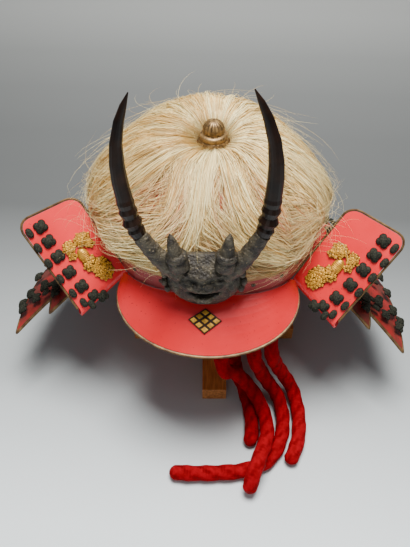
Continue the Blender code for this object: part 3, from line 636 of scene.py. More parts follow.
class Groups:
    """Node groups shared by the materials: each gives only a colour, a mask or a normal."""

    FLOAT = "NodeSocketFloat"
    VECTOR = "NodeSocketVector"
    COLOR = "NodeSocketColor"

    def __init__(self) -> None:
        """Builds the three groups."""
        self.mask = self._mask()
        self.tint = self._tint()
        self.grain = self._grain()

    @staticmethod
    def _new(name: str, inputs: list[tuple], outputs: list[tuple]) -> bpy.types.NodeTree:
        """An empty group with its sockets.

        Args:
            name: the group's name.
            inputs: name, socket type and default of each input.
            outputs: name and socket type of each output.

        Returns:
            The group.
        """
        tree = bpy.data.node_groups.new(name, "ShaderNodeTree")
        for label, kind, default in inputs:
            socket = tree.interface.new_socket(label, in_out="INPUT", socket_type=kind)
            if default is not None:
                socket.default_value = default
        for label, kind in outputs:
            tree.interface.new_socket(label, in_out="OUTPUT", socket_type=kind)
        tree.nodes.new("NodeGroupInput").name = "in"
        tree.nodes.new("NodeGroupOutput").name = "out"
        return tree

    @staticmethod
    def _wire(tree: bpy.types.NodeTree, *routes: tuple[bpy.types.Node, str, bpy.types.Node, str]) -> None:
        """Links nodes of a group.

        Args:
            tree: the group.
            routes: node, output, node and input of each link.
        """
        for source, output, target, entry in routes:
            tree.links.new(source.outputs[output], target.inputs[entry])

    def _mask(self) -> bpy.types.NodeTree:
        """Group that turns noise into a mask with soft edges.

        Returns:
            The group, with inputs Vector, Scale, Detail, Low and High.
        """
        tree = self._new("noise_mask", [
            ("Vector", self.VECTOR, None), ("Scale", self.FLOAT, 40.0), ("Detail", self.FLOAT, 4.0),
            ("Low", self.FLOAT, 0.4), ("High", self.FLOAT, 0.6)], [("Mask", self.FLOAT)])
        noise = tree.nodes.new("ShaderNodeTexNoise")
        spread = tree.nodes.new("ShaderNodeMapRange")
        source, sink = tree.nodes["in"], tree.nodes["out"]
        self._wire(tree, (source, "Vector", noise, "Vector"), (source, "Scale", noise, "Scale"),
                   (source, "Detail", noise, "Detail"), (noise, "Fac", spread, "Value"),
                   (source, "Low", spread, "From Min"), (source, "High", spread, "From Max"),
                   (spread, "Result", sink, "Mask"))
        return tree

    def _tint(self) -> bpy.types.NodeTree:
        """Group that mixes two colours by a mask.

        Returns:
            The group, with inputs First, Second and Mask.
        """
        tree = self._new("two_tone", [("First", self.COLOR, None), ("Second", self.COLOR, None),
                                      ("Mask", self.FLOAT, 0.0)], [("Color", self.COLOR)])
        mix = tree.nodes.new("ShaderNodeMix")
        mix.data_type = "RGBA"
        source, sink = tree.nodes["in"], tree.nodes["out"]
        self._wire(tree, (source, "Mask", mix, "Factor"), (source, "First", mix, "A"),
                   (source, "Second", mix, "B"), (mix, "Result", sink, "Color"))
        return tree

    def _grain(self) -> bpy.types.NodeTree:
        """Group that turns noise into a bumped normal.

        Returns:
            The group, with inputs Vector, Scale, Strength and Depth.
        """
        tree = self._new("grain", [("Vector", self.VECTOR, None), ("Scale", self.FLOAT, 300.0),
                                   ("Strength", self.FLOAT, 0.3), ("Depth", self.FLOAT, 0.0006)],
                         [("Normal", self.VECTOR)])
        noise = tree.nodes.new("ShaderNodeTexNoise")
        noise.inputs["Detail"].default_value = 5.0
        bump = tree.nodes.new("ShaderNodeBump")
        source, sink = tree.nodes["in"], tree.nodes["out"]
        self._wire(tree, (source, "Vector", noise, "Vector"), (source, "Scale", noise, "Scale"),
                   (noise, "Fac", bump, "Height"), (source, "Strength", bump, "Strength"),
                   (source, "Depth", bump, "Distance"), (bump, "Normal", sink, "Normal"))
        return tree


@dataclass(frozen=True)
class Finish:
    """One material: two tones split by noise, a third and a fourth by attributes, with grain and gloss."""

    name: str
    main: tuple[float, float, float]
    second: tuple[float, float, float]
    blotch_scale: float = 30.0
    blotch: tuple[float, float] = (0.4, 0.65)
    stretch: tuple[float, float, float] = (1.0, 1.0, 1.0)
    third: tuple[float, float, float] | None = None
    attribute: str = ""
    fourth: tuple[float, float, float] | None = None
    fourth_attribute: str = ""
    fleck: tuple[float, float, float] | None = None
    fleck_scale: float = 500.0
    fleck_range: tuple[float, float] = (0.66, 0.72)
    roughness: float = 0.5
    metallic: float = 0.0
    grain_scale: float = 400.0
    grain_strength: float = 0.25
    grain_depth: float = 0.0005
    coat: float = 0.0
    specular: float = 0.5

    def make(self, groups: Groups) -> bpy.types.Material:
        """Builds the material.

        Args:
            groups: the shared node groups.

        Returns:
            The material.
        """
        made = bpy.data.materials.new(self.name)
        made.use_nodes = True
        tree = made.node_tree
        nodes, links = tree.nodes, tree.links
        shader = nodes["Principled BSDF"]
        for entry, value in (("Roughness", self.roughness), ("Metallic", self.metallic),
                             ("Coat Weight", self.coat), ("Specular IOR Level", self.specular)):
            shader.inputs[entry].default_value = value
        place = nodes.new("ShaderNodeTexCoord")
        mapping = nodes.new("ShaderNodeMapping")
        mapping.inputs["Scale"].default_value = self.stretch
        links.new(place.outputs["Object"], mapping.inputs["Vector"])

        def group(tree_of: bpy.types.NodeTree, **values: float) -> bpy.types.Node:
            """A node of a shared group, on the material's own coordinates."""
            node = nodes.new("ShaderNodeGroup")
            node.node_tree = tree_of
            if "Vector" in node.inputs:
                links.new(mapping.outputs["Vector"], node.inputs["Vector"])
            for key, value in values.items():
                node.inputs[key].default_value = value
            return node

        blotches = group(groups.mask, Scale=self.blotch_scale, Low=self.blotch[0], High=self.blotch[1])
        colour = group(groups.tint, First=(*self.main, 1.0), Second=(*self.second, 1.0))
        links.new(blotches.outputs["Mask"], colour.inputs["Mask"])
        for tone, attribute in ((self.third, self.attribute), (self.fourth, self.fourth_attribute)):
            if tone is None:
                continue
            named = nodes.new("ShaderNodeAttribute")
            named.attribute_name = attribute
            over = group(groups.tint, Second=(*tone, 1.0))
            links.new(colour.outputs["Color"], over.inputs["First"])
            links.new(named.outputs["Fac"], over.inputs["Mask"])
            colour = over
        if self.fleck is not None:
            flecks = group(groups.mask, Scale=self.fleck_scale, Detail=2.0, Low=self.fleck_range[0],
                           High=self.fleck_range[1])
            over = group(groups.tint, Second=(*self.fleck, 1.0))
            links.new(colour.outputs["Color"], over.inputs["First"])
            links.new(flecks.outputs["Mask"], over.inputs["Mask"])
            colour = over
        links.new(colour.outputs["Color"], shader.inputs["Base Color"])
        grain = group(groups.grain, Scale=self.grain_scale, Strength=self.grain_strength,
                      Depth=self.grain_depth)
        links.new(grain.outputs["Normal"], shader.inputs["Normal"])
        return made


class Kind(Enum):
    """The finishes of the object and of the stage."""

    LACQUER = Finish("red_lacquer", (0.72, 0.008, 0.014), (0.88, 0.032, 0.038), 14.0, (0.35, 0.75),
                     fleck=(0.36, 0.012, 0.012), fleck_scale=420.0, fleck_range=(0.69, 0.75),
                     roughness=0.40, grain_scale=700.0, grain_strength=0.14, grain_depth=0.0003, coat=0.12)
    LAME = Finish("shaded_red_lacquer", (0.34, 0.016, 0.016), (0.13, 0.022, 0.014), 38.0, (0.40, 0.62),
                  fleck=(0.09, 0.02, 0.012), fleck_scale=260.0, fleck_range=(0.62, 0.70), roughness=0.5,
                  grain_strength=0.25)
    SHELL = Finish("dark_red_lacquer", (0.22, 0.008, 0.010), (0.34, 0.024, 0.022), 25.0, (0.35, 0.7),
                   fleck=(0.05, 0.01, 0.01), fleck_scale=300.0, roughness=0.5, grain_strength=0.2)
    EDGING = Finish("dark_gilt_edge", (0.085, 0.042, 0.016), (0.20, 0.115, 0.042), 120.0, roughness=0.45,
                    metallic=0.5, grain_strength=0.3)
    # The third tone darkens the lion's bodies between its curls: painted shade.
    GILT = Finish("gilt_casting", (0.74, 0.40, 0.045), (0.50, 0.24, 0.028), 180.0, (0.4, 0.6),
                  third=(0.055, 0.022, 0.006), attribute="recess", roughness=0.36, metallic=0.6,
                  grain_scale=900.0, grain_strength=0.35, grain_depth=0.0004)
    # The third tone is the plate's own dark ground between the lozenges.
    PLATE = Finish("gilt_plate", (0.80, 0.44, 0.045), (0.58, 0.27, 0.03), 260.0, (0.4, 0.6),
                   third=(0.035, 0.016, 0.008), attribute="recess", roughness=0.4, metallic=0.5,
                   grain_scale=900.0, grain_strength=0.35, grain_depth=0.0004)
    # The third tone darkens the bottoms of the finial's flutes: painted shade.
    BRASS = Finish("aged_gilt_brass", (0.33, 0.20, 0.075), (0.16, 0.092, 0.034), 220.0, (0.4, 0.62),
                   third=(0.030, 0.015, 0.006), attribute="recess", fleck=(0.05, 0.028, 0.012),
                   fleck_scale=380.0, fleck_range=(0.56, 0.68), roughness=0.42, metallic=0.55,
                   grain_scale=500.0, grain_strength=0.35)
    # The third tone darkens the mask's hollows, the lower part of its face and the grooves of the horn collars:
    # painted shade.
    BRONZE = Finish("dark_cast_bronze", (0.020, 0.015, 0.010), (0.085, 0.070, 0.044), 120.0, (0.40, 0.66),
                    third=(0.004, 0.003, 0.002), attribute="recess", fleck=(0.26, 0.20, 0.11),
                    fleck_scale=520.0, fleck_range=(0.64, 0.76), roughness=0.52, metallic=0.2,
                    grain_scale=420.0, grain_strength=1.0, grain_depth=0.0022)
    HORN = Finish("dark_horn", (0.006, 0.0026, 0.0014), (0.020, 0.008, 0.004), 45.0, (0.4, 0.7),
                  roughness=0.36, metallic=0.0, grain_scale=260.0, grain_strength=0.15, specular=0.22)
    WOOD = Finish("oiled_wood", (0.60, 0.235, 0.060), (0.34, 0.115, 0.026), 60.0, (0.35, 0.65),
                  stretch=(6.0, 0.7, 6.0), roughness=0.5, grain_scale=150.0, grain_strength=0.3)
    # The third tone follows each strand's tone, which holds painted light on raised locks and painted shade towards
    # the tips.
    HAIR = Finish("blond_hair", (0.50, 0.285, 0.080), (0.82, 0.53, 0.17), 50.0, (0.35, 0.65),
                  third=(1.0, 0.86, 0.46), attribute="tone", fourth=(0.50, 0.020, 0.028),
                  fourth_attribute="bare", roughness=0.42, grain_strength=0.0, specular=0.35)
    # Darker than the strands: painted shade deep in the hair, showing between them.
    UNDER_HAIR = Finish("hair_mass", (0.26, 0.145, 0.05), (0.42, 0.27, 0.11), 90.0, (0.35, 0.65),
                        third=(0.46, 0.022, 0.024), attribute="bare", roughness=0.6, grain_scale=700.0,
                        grain_strength=0.5)
    # The third tone darkens the grooves between the plies: painted shade.
    ROPE = Finish("red_rope", (0.23, 0.0003, 0.0035), (0.34, 0.0006, 0.007), 190.0, (0.35, 0.65),
                  third=(0.09, 0.0001, 0.001), attribute="recess", roughness=0.92, grain_scale=900.0,
                  grain_strength=0.9, grain_depth=0.0014, specular=0.08)
    # The third tone darkens each cord's ends, where it meets the plate: painted shade.
    LACE = Finish("dark_green_lace", (0.011, 0.012, 0.009), (0.036, 0.037, 0.026), 700.0, (0.4, 0.6),
                  third=(0.002, 0.002, 0.002), attribute="recess", roughness=0.85, grain_scale=900.0,
                  grain_strength=0.9, grain_depth=0.0012, specular=0.15)


@dataclass
class Hair:
    """Long hair that falls from the crown over the bowl, in a shaded mass, locks and loose strands."""

    finish: bpy.types.Material
    under: bpy.types.Material
    strands: int = 2150
    layers: int = 4
    places: int = 9
    radius: float = 0.00035
    clumps: int = 58
    # Where the hair parts: angle in degrees, share, half width in radians, half height in shares, strength
    patches: tuple = (
        (-78, 0.40, 0.060, 0.10, 1.0), (-124, 0.46, 0.15, 0.10, 0.9), (-50, 0.47, 0.09, 0.10, 0.75),
        (-84, 0.68, 0.13, 0.10, 1.0), (-34, 0.66, 0.14, 0.13, 1.0), (-140, 0.60, 0.08, 0.10, 0.6),
        (-62, 0.74, 0.10, 0.08, 0.75), (-104, 0.52, 0.07, 0.12, 0.6),
    )

    def form(self, angle: np.ndarray, share: np.ndarray, lift: np.ndarray) -> np.ndarray:
        """Point of the hair's outer form.

        The form is an oblong whose radius and height follow a table from the finial to the tips, puffed
        out at the back and kept clear of the bowl.

        Args:
            angle: angles from +X.
            share: from 0 at the finial to 1 at the tips.
            lift: distance outside the form, negative for inside.

        Returns:
            The points.
        """
        angle, share, lift = np.broadcast_arrays(angle, share, lift)
        knots = np.linspace(0, 1, len(HAIR_SECTIONS))
        table = spline(np.column_stack([knots, HAIR_SECTIONS]), 400)
        spread = np.interp(share, table[:, 0], table[:, 1])
        spread = spread - 0.020 * np.exp(-(share / 0.035) ** 2)
        height = np.interp(share, table[:, 0], table[:, 2])
        length = HAIR_FRONT + (HAIR_BACK - HAIR_FRONT) * smooth_step(0.5 + 1.5 * np.sin(angle))
        reach = plan_radius(HAIR_HALF_WIDTH, length, angle, 2.0)
        backward = np.clip(np.sin(angle), 0, 1)
        forward = np.clip(-np.sin(angle), 0, 1)
        rise = (HAIR_FRONT_EDGE_Z - HAIR_SIDE_EDGE_Z) * np.clip(forward * 1.5, 0, 1)
        edge = HAIR_SIDE_EDGE_Z + rise - 0.008 * backward
        puff = HAIR_BACK_PUFF * backward ** 2 * (1 - share) * np.clip(share * 4, 0, 1)
        z = HAIR_FOOT_Z + (HAIR_TOP_Z - HAIR_FOOT_Z) * height + puff
        z = z - (0.0042 + 0.0030 * forward) * np.exp(-(share / 0.20) ** 2)
        z = np.maximum(z, edge + 0.006 - 0.05 * np.clip(share - 0.86, 0, 1)) + lift * (1 - share) ** 0.5
        beside = np.exp(-((np.abs(np.cos(angle)) - 0.93) / 0.12) ** 2) * (np.sin(angle) < 0.1)
        narrow = 1 - 0.13 * beside * np.clip((share - 0.55) / 0.3, 0, 1)
        radius = reach * spread * narrow + lift * share ** 0.5
        points = ring(radius, angle, z)
        points[..., 0] += HAIR_SHIFT * np.clip(share * 3, 0, 1)
        shoulder = RIM_Z + BAND_HEIGHT
        clear = HAIR_CLEAR + lift
        top = np.maximum(RIM_Z + BOWL_HEIGHT + clear - shoulder, 1e-4)
        turn = np.arctan2(points[..., 1], points[..., 0])
        high = np.clip((points[..., 2] - shoulder) / top, 0, 1)
        least = plan_radius(BOWL_HALF_WIDTH, BOWL_HALF_LENGTH, turn) + clear
        least = least * (1 - high ** DOME_POWER) ** (1 / DOME_POWER)
        least = np.where(share < 0.1, 0, least)
        return ring(np.maximum(np.hypot(points[..., 0], points[..., 1]), least), turn, points[..., 2])

    def sweep(self, angle: np.ndarray, share: np.ndarray) -> np.ndarray:
        """Angle to which hair that starts at an angle has swung: the front parts to both sides.

        Args:
            angle: starting angles from +X, from -pi to pi.
            share: from 0 at the finial to 1 at the tips.

        Returns:
            The angles at each share.
        """
        from_front = wrap(angle + 0.5 * np.pi) + 0.06
        pull = np.tanh(from_front / 0.10) * np.exp(-(from_front / 1.05) ** 2)
        wave = 0.05 * np.sin(angle * 3 + 0.7) + 0.035 * np.sin(angle * 7 + 2.0)
        bend = smooth_step((share - 0.40) / 0.50) * (0.35 + 0.65 * share)
        back_wave = 0.16 * np.sin(share * 8.5 + 3.0 * np.abs(from_front)) * np.sign(from_front) * share
        back_wave = back_wave * np.exp(-((np.abs(from_front) - 0.75) / 0.55) ** 2)
        return angle + (1.02 + 0.10 * np.sin(angle * 5)) * pull * bend + wave * share + back_wave

    def bare(self, angle: np.ndarray, share: np.ndarray) -> np.ndarray:
        """How far the red bowl shows through: a sum of soft patches at places in the front.

        Args:
            angle: angles from +X.
            share: from 0 at the finial to 1 at the tips.

        Returns:
            A mask from 0 to 1.
        """
        total = np.zeros(np.broadcast(angle, share).shape)
        for degrees, at, wide, tall, strength in self.patches:
            off = wrap(angle - np.radians(degrees))
            total = total + strength * np.exp(-(off / wide) ** 2 - ((share - at) / tall) ** 2)
        return np.clip(total, 0, 1)

    @staticmethod
    def taper(share: np.ndarray) -> np.ndarray:
        """Width share of a loose strand, which narrows over its last third.

        Args:
            share: from 0 at its root to 1 at its tip.

        Returns:
            The width share at each place.
        """
        return np.sqrt(np.clip((1 - share) * 3, 0.03, 1))

    def mass(self) -> Shape:
        """The shaded mass under the strands: grooved rings over the outer form, closed over a backing.

        Returns:
            The shape.
        """
        sides, rows = 348, 50
        angle = np.linspace(0, 2 * np.pi, sides, endpoint=False)[None, :]
        share = np.linspace(0, 1, rows)[:, None]
        turned = self.sweep(wrap(angle), share)
        turned = angle + wrap(turned - angle)
        groove = 0.5 - 0.5 * np.cos(angle * self.clumps)
        lift = -0.0016 - 0.0016 * groove * np.clip(share * 3, 0, 1)
        outer = self.form(turned, share, lift)
        hold = band_radius(turned[-1], 0.001)
        edge = outer[-1, :, 2]
        under = [ring(hold, turned[-1], np.maximum(edge - 0.004, RIM_Z + 0.002))]
        shoulder = RIM_Z + BAND_HEIGHT
        under.append(ring(hold, turned[-1], np.maximum(edge + 0.002, shoulder + 0.001)))
        for turn in np.radians(np.linspace(14, 78, 8)):
            radius = plan_radius(BOWL_HALF_WIDTH + 0.0008, BOWL_HALF_LENGTH + 0.0008, turned[-1])
            height = shoulder + (BOWL_HEIGHT - BAND_HEIGHT) * math.sin(turn) ** (2 / DOME_POWER) + 0.0016
            under.append(ring(radius * math.cos(turn) ** (2 / DOME_POWER), angle[0], height))
        grid = np.concatenate([outer, np.array(under)])
        count = len(grid)
        index = np.arange(count * sides).reshape(count, sides)
        after, below = np.roll(index, -1, axis=1), np.roll(index, -1, axis=0)
        quads = np.stack([index, below, np.roll(below, -1, axis=1), after], axis=-1).reshape(-1, 4)
        bare = np.concatenate([self.bare(turned, share + 0 * angle), np.zeros((count - rows, sides))])
        return Shape(grid.reshape(-1, 3), quads, np.zeros((0, 3), int), {"bare": bare.ravel()})

    def lay(self, seed: int, count: int, depth: float, stray: float) -> Shape:
        """Strands that lie on the mass: each keeps to its lock, and spreads away from a parting.

        Args:
            seed: seed of the random numbers.
            count: number of strands.
            depth: greatest lift above the mass.
            stray: spread, in radians, of the locks away from their straight fall.

        Returns:
            The strands as one shape.
        """
        draw = np.random.default_rng(seed)
        root = draw.uniform(-np.pi, np.pi, count)
        number = np.floor((root + np.pi) / (2 * np.pi) * self.clumps).astype(int)
        lock = (number + 0.5) * 2 * np.pi / self.clumps - np.pi
        lean = draw.normal(0, stray, self.clumps + 1)[number][:, None]
        curl = draw.uniform(0, 2 * np.pi, self.clumps + 1)[number][:, None]
        rise = draw.normal(0.0003, 0.0010, self.clumps + 1)[number][:, None]
        share = np.linspace(0, 1, self.places)[None, :]
        start = draw.uniform(0.0, 0.42, count) * (draw.random(count) < 0.55)
        stop = draw.uniform(0.84, 1.0, count)
        stop = np.where(np.sin(root) < -0.2, stop - draw.uniform(0, 0.07, count), stop)
        run = start[:, None] + (stop - start)[:, None] * share
        gather = 0.68 * smooth_step(run * 1.4)
        drift = draw.normal(0, 0.05 + 0.5 * stray, count)[:, None] * run + lean * run ** 1.5
        drift = drift + (0.022 + 0.15 * stray) * np.sin(run * 7.5 + curl) * run
        angle = root[:, None] + (lock - root)[:, None] * gather + drift
        angle = self.sweep(angle, run)
        for degrees, at, wide, tall, strength in self.patches:
            off = wrap(angle - np.radians(degrees))
            near = np.exp(-((run - at) / (tall * 1.5)) ** 2) * np.exp(-(off / (wide * 1.9)) ** 2)
            pushed = draw.random(count) < 0.72 + 0.26 * strength
            angle = angle + np.sign(off) * wide * 1.3 * strength * near * pushed[:, None]
        wobble = draw.uniform(0, 2 * np.pi, (count, 1))
        lift = draw.uniform(-0.0012, depth, count)[:, None] + 0.0007 * np.sin(run * 9 + wobble)
        crest = 0.0014 * np.cos((root - lock) * self.clumps)[:, None] * smooth_step(run * 3)
        paths = self.form(angle, run, np.maximum(lift + crest + rise * smooth_step(run * 3), -0.0022))
        taper = np.sqrt(np.clip(np.minimum(share * 8, (1 - share) * 4), 0.02, 1))
        middle = unit(paths - HAIR_CENTRE)
        bright = draw.normal(0.0, 0.26, self.clumps + 1)[number][:, None]
        # Tone is random by strand and by lock. Locks that stand higher get painted light, and the last part towards
        # the tips gets painted shade.
        tone = np.clip(draw.normal(0.44, 0.32, count)[:, None] + bright + 160 * rise
                       - 0.45 * smooth_step((run - 0.72) * 4), 0, 1)
        width = self.radius * draw.uniform(0.7, 1.3, count)[:, None] * taper
        red = self.bare(angle, run) * draw.uniform(-0.2, 2.2, count)[:, None]
        return tubes(paths, width, width, middle, 3, {"tone": tone, "bare": np.clip(red, 0, 0.9)})

    def stray(self, seed: int, count: int) -> Shape:
        """Loose strands that leave the mass, lifted further the nearer they are to their tips.

        Args:
            seed: seed of the random numbers.
            count: number of strands.

        Returns:
            The strands as one shape.
        """
        draw = np.random.default_rng(seed)
        share = np.linspace(0, 1, 12)[None, :]
        root = draw.uniform(-np.pi, np.pi, count)
        start = draw.uniform(0.05, 0.6, count)[:, None]
        run = np.clip(start + draw.uniform(0.25, 0.55, count)[:, None] * share, 0, 1)
        curl = draw.normal(0, 0.38, count)[:, None] * share ** 2
        lift = 0.003 + draw.gamma(1.3, 0.0056, count)[:, None] * share ** 1.5
        paths = self.form(self.sweep(root[:, None] + 0 * run, run) + curl, run, np.minimum(lift, 0.032))
        paths[..., 2] += draw.normal(0, 0.010, count)[:, None] * share ** 2
        width = 0.00012 * self.taper(share)
        tone = draw.uniform(0.2, 1, count)[:, None] + 0 * share
        return tubes(paths, width, width, unit(paths - HAIR_CENTRE), 3, {"tone": tone})

    def fringe(self, seed: int, count: int) -> Shape:
        """Tips of the front hair that hang over the waist band, in short bent locks.

        Args:
            seed: seed of the random numbers.
            count: number of strands.

        Returns:
            The strands as one shape.
        """
        draw = np.random.default_rng(seed)
        share = np.linspace(0, 1, 8)[None, :]
        number = draw.integers(0, 36, count)
        lock = np.radians(draw.uniform(-172, -8, 36))[number][:, None]
        root = lock + draw.normal(0, 0.030, count)[:, None]
        swing = (draw.normal(0, 0.16, 36)[number] + draw.normal(0, 0.05, count))[:, None]
        start = self.form(root, np.full((count, 1), 0.90), np.full((count, 1), 0.001))
        drop = draw.uniform(0.004, 0.015, count)[:, None]
        angle = root + swing * share
        reach = np.hypot(start[..., 0], start[..., 1]) + 0.003 * np.sin(share * np.pi)
        least = band_radius(angle, 0.0012)
        low = np.maximum(start[..., 2] - drop * share ** 1.3, RIM_Z + 0.0045)
        paths = ring(np.maximum(reach - 0.004 * share, least), angle, low)
        width = 0.00016 * self.taper(share) + 0 * root
        # Painted shade: the fringe's tones run darker than the other loose hair.
        tone = draw.uniform(0.0, 0.75, count)[:, None] + 0 * share
        return tubes(paths, width, width, unit(paths - HAIR_CENTRE), 3, {"tone": tone})

    def over_flaps(self, seed: int, count: int) -> Shape:
        """Fine hairs that arch from the sides over the flaps and onto the peak.

        Args:
            seed: seed of the random numbers.
            count: number of strands.

        Returns:
            The strands as one shape.
        """
        draw = np.random.default_rng(seed)
        share = np.linspace(0, 1, 18)[None, :, None]
        side = np.where(draw.random(count) < 0.55, -1, 1)
        low = draw.random(count)
        start = np.stack([side * draw.uniform(0.098, 0.122, count), draw.uniform(-0.075, -0.01, count),
                          draw.uniform(0.205, 0.238, count)], axis=-1)
        reach = np.stack([side * draw.uniform(0.012, 0.055, count), draw.uniform(-0.035, 0.012, count),
                          draw.uniform(-0.010, 0.018, count)], axis=-1)
        bow = np.stack([side * 0.004, draw.uniform(-0.012, 0.004, count),
                        draw.uniform(0.006, 0.024, count)], axis=-1)
        paths = start[:, None] + reach[:, None] * share + bow[:, None] * 4 * share * (1 - share)
        width = 0.00007 * self.taper(share[..., 0]) + 0 * low[:, None]
        return tubes(paths, width, width, np.array((0.1, 0.2, 1.0)), 3,
                     {"tone": draw.uniform(0.2, 1, count)[:, None] + 0 * share[..., 0]})

    def build(self) -> None:
        """Puts the hair into the scene."""
        self.mass().build("hair_mass", self.under, "blond_hair", ("hair",))
        for number in range(self.layers):
            depth, stray = 0.0012 + 0.0014 * number, 0.04 + 0.055 * number
            shape = self.lay(11 + number, self.strands, depth, stray)
            shape.build(f"hair_strands_{number + 1}", self.finish, "blond_hair")
        loose = Shape.joined([self.stray(31, 950), self.fringe(43, 420), self.over_flaps(37, 44)])
        loose.build("hair_loose", self.finish, "blond_hair")


@dataclass
class Mask:
    """Cast front crest: the face with its arms and short horns."""

    finish: bpy.types.Material
    half_width: float = 0.0375
    height: float = 0.063
    low: float = 0.0026
    # Ridges and hollows of the face, in millimetres: place across and up, half sizes, rise and bend
    bumps: tuple = (
        (0, 48, 27, 2.4, 1.8, 0.008), (0, 53, 12, 4.5, 1.2), (0, 41.5, 22, 3.2, -1.9, 0.007),
        (0, 41, 5.5, 7.0, 3.0), (-6, 37, 3.6, 2.8, 2.6), (6, 37, 3.6, 2.8, 2.6),
        (0, 31.5, 22, 2.6, 3.2, 0.016), (0, 25.4, 15, 1.5, -4.0, 0.012), (0, 20.5, 8.5, 2.6, 7.0),
        (0, 14.5, 12, 2.0, -2.2), (-15, 42, 3.6, 2.4, 2.8), (15, 42, 3.6, 2.4, 2.8),
        (-27, 31, 4, 7, 2.2), (27, 31, 4, 7, 2.2), (-22, 26, 3, 6, -1.6), (22, 26, 3, 6, -1.6),
        (0, 60, 10, 2.4, -0.9),
    )

    def face(self) -> Shape:
        """The face as a relief: a rounded block with ridges and hollows added as soft bumps.

        Returns:
            The shape.
        """
        rows, columns = 108, 124
        up_share = np.linspace(0, 1, rows)[:, None] + np.zeros(columns)
        across_share = np.linspace(-1, 1, columns) + np.zeros((rows, 1))
        knots = np.array((0, 0.10, 0.24, 0.42, 0.60, 0.75, 0.90, 1.0))
        width = np.interp(up_share, knots, (0.33, 0.58, 0.80, 1.0, 1.0, 0.98, 0.94, 0.86))
        depth = np.interp(up_share, knots, (0.10, 0.42, 0.78, 0.84, 0.86, 0.82, 0.46, 0.02))
        across = across_share * self.half_width * width * 1000
        up = (self.low + self.height * up_share) * 1000
        body = 16.5 * depth * (1 - np.abs(across_share) ** 2.6) ** 0.6

        def bump(x: float, u: float, wide: float, tall: float, high: float,
                 bend: float = 0.0) -> np.ndarray:
            """A soft bump at a place, with a middle line that may bend."""
            line = u + bend * (across - x) ** 2
            return high * np.exp(-((across - x) / wide) ** 4 - ((up - line) / tall) ** 2)

        relief = sum(bump(*row) for row in self.bumps)
        # Painted shade in the face's hollows and over its lower part.
        recess = np.clip(-relief / 2.6 + 0.25 * (up < 42), 0, 1)
        forward = (body + relief * np.clip(body / 6, 0, 1)) / 1000
        draw = np.random.default_rng(5)
        for _ in range(150):
            x, u = draw.uniform(-34, 34), draw.uniform(6, 62)
            forward += bump(x, u, draw.uniform(1.0, 3.0), draw.uniform(0.8, 2.4), draw.normal(0, 0.42)) / 1000
        front = crest_point(across / 1000, up / 1000, forward)
        back = crest_point(across / 1000, up / 1000, np.full_like(up, -0.004))
        return relief_plate(front, back, {"recess": recess})

    def arms(self) -> Shape:
        """Arms to the long horns, and the short horns with their collars.

        Returns:
            The shape.
        """
        shapes = []
        for side in (-1, 1):
            bends = np.array(((0.020, 0.046), (0.031, 0.053), (0.044, 0.070), (0.0558, 0.0905)))
            flat = spline(bends * (side, 1), 40)
            path = crest_point(flat[:, 0], flat[:, 1], 0.0040)
            share = np.linspace(0, 1, 40)
            rough = 1 + 0.035 * np.sin(share * 31 + side) + 0.02 * np.sin(share * 57)
            bulge = 0.0080 * (1.26 - 0.34 * share) * rough
            ahead = crest_point(0, 0, 1) - CREST_FOOT
            shapes.append(tubes(path[None], bulge[None], bulge[None] * 0.95, ahead, 28))
            bends = np.array(((0.0210, 0.057), (0.0232, 0.0715), (0.0253, 0.0845), (0.0270, 0.0955)))
            flat = spline(bends * (side, 1), 44)
            share = np.linspace(0, 1, 44)
            collar = (0.0098 - 0.0029 * smooth_step((share - 0.42) / 0.04)
                      - 0.0009 * np.exp(-((share - 0.28) / 0.03) ** 2)
                      + 0.0010 * np.exp(-((share - 0.36) / 0.04) ** 2)
                      - 0.0034 * smooth_step((share - 0.46) / 0.5)
                      - 0.0026 * smooth_step((share - 0.86) / 0.15))
            path = crest_point(flat[:, 0], flat[:, 1], 0.0094 + 0.0012 * np.sin(share * 3))
            # Painted shade at the collar's step and in its groove.
            recess = (0.8 * np.exp(-((share - 0.42) / 0.025) ** 2)
                      + 0.5 * np.exp(-((share - 0.30) / 0.03) ** 2))
            shapes.append(tubes(path[None], collar[None], collar[None], np.array((0, -1, 0.1)), 26,
                                {"recess": recess[None]}))
            lumps = crest_point(side * np.array((0.0375, 0.0385, 0.036)), np.array((0.044, 0.035, 0.027)),
                                np.array((0.002, 0.003, 0.003)))
            axes = np.tile(np.eye(3), (3, 1, 1))
            shapes.append(blobs(lumps, axes, np.array(((0.0035, 0.005, 0.0052),) * 3), 20, 12))
        return Shape.joined(shapes)

    def build(self) -> None:
        """Puts the crest's mask into the scene."""
        shape = Shape.joined([self.face(), self.arms()])
        shape.build("mask_relief", self.finish, "cast_bronze", ("mask",))


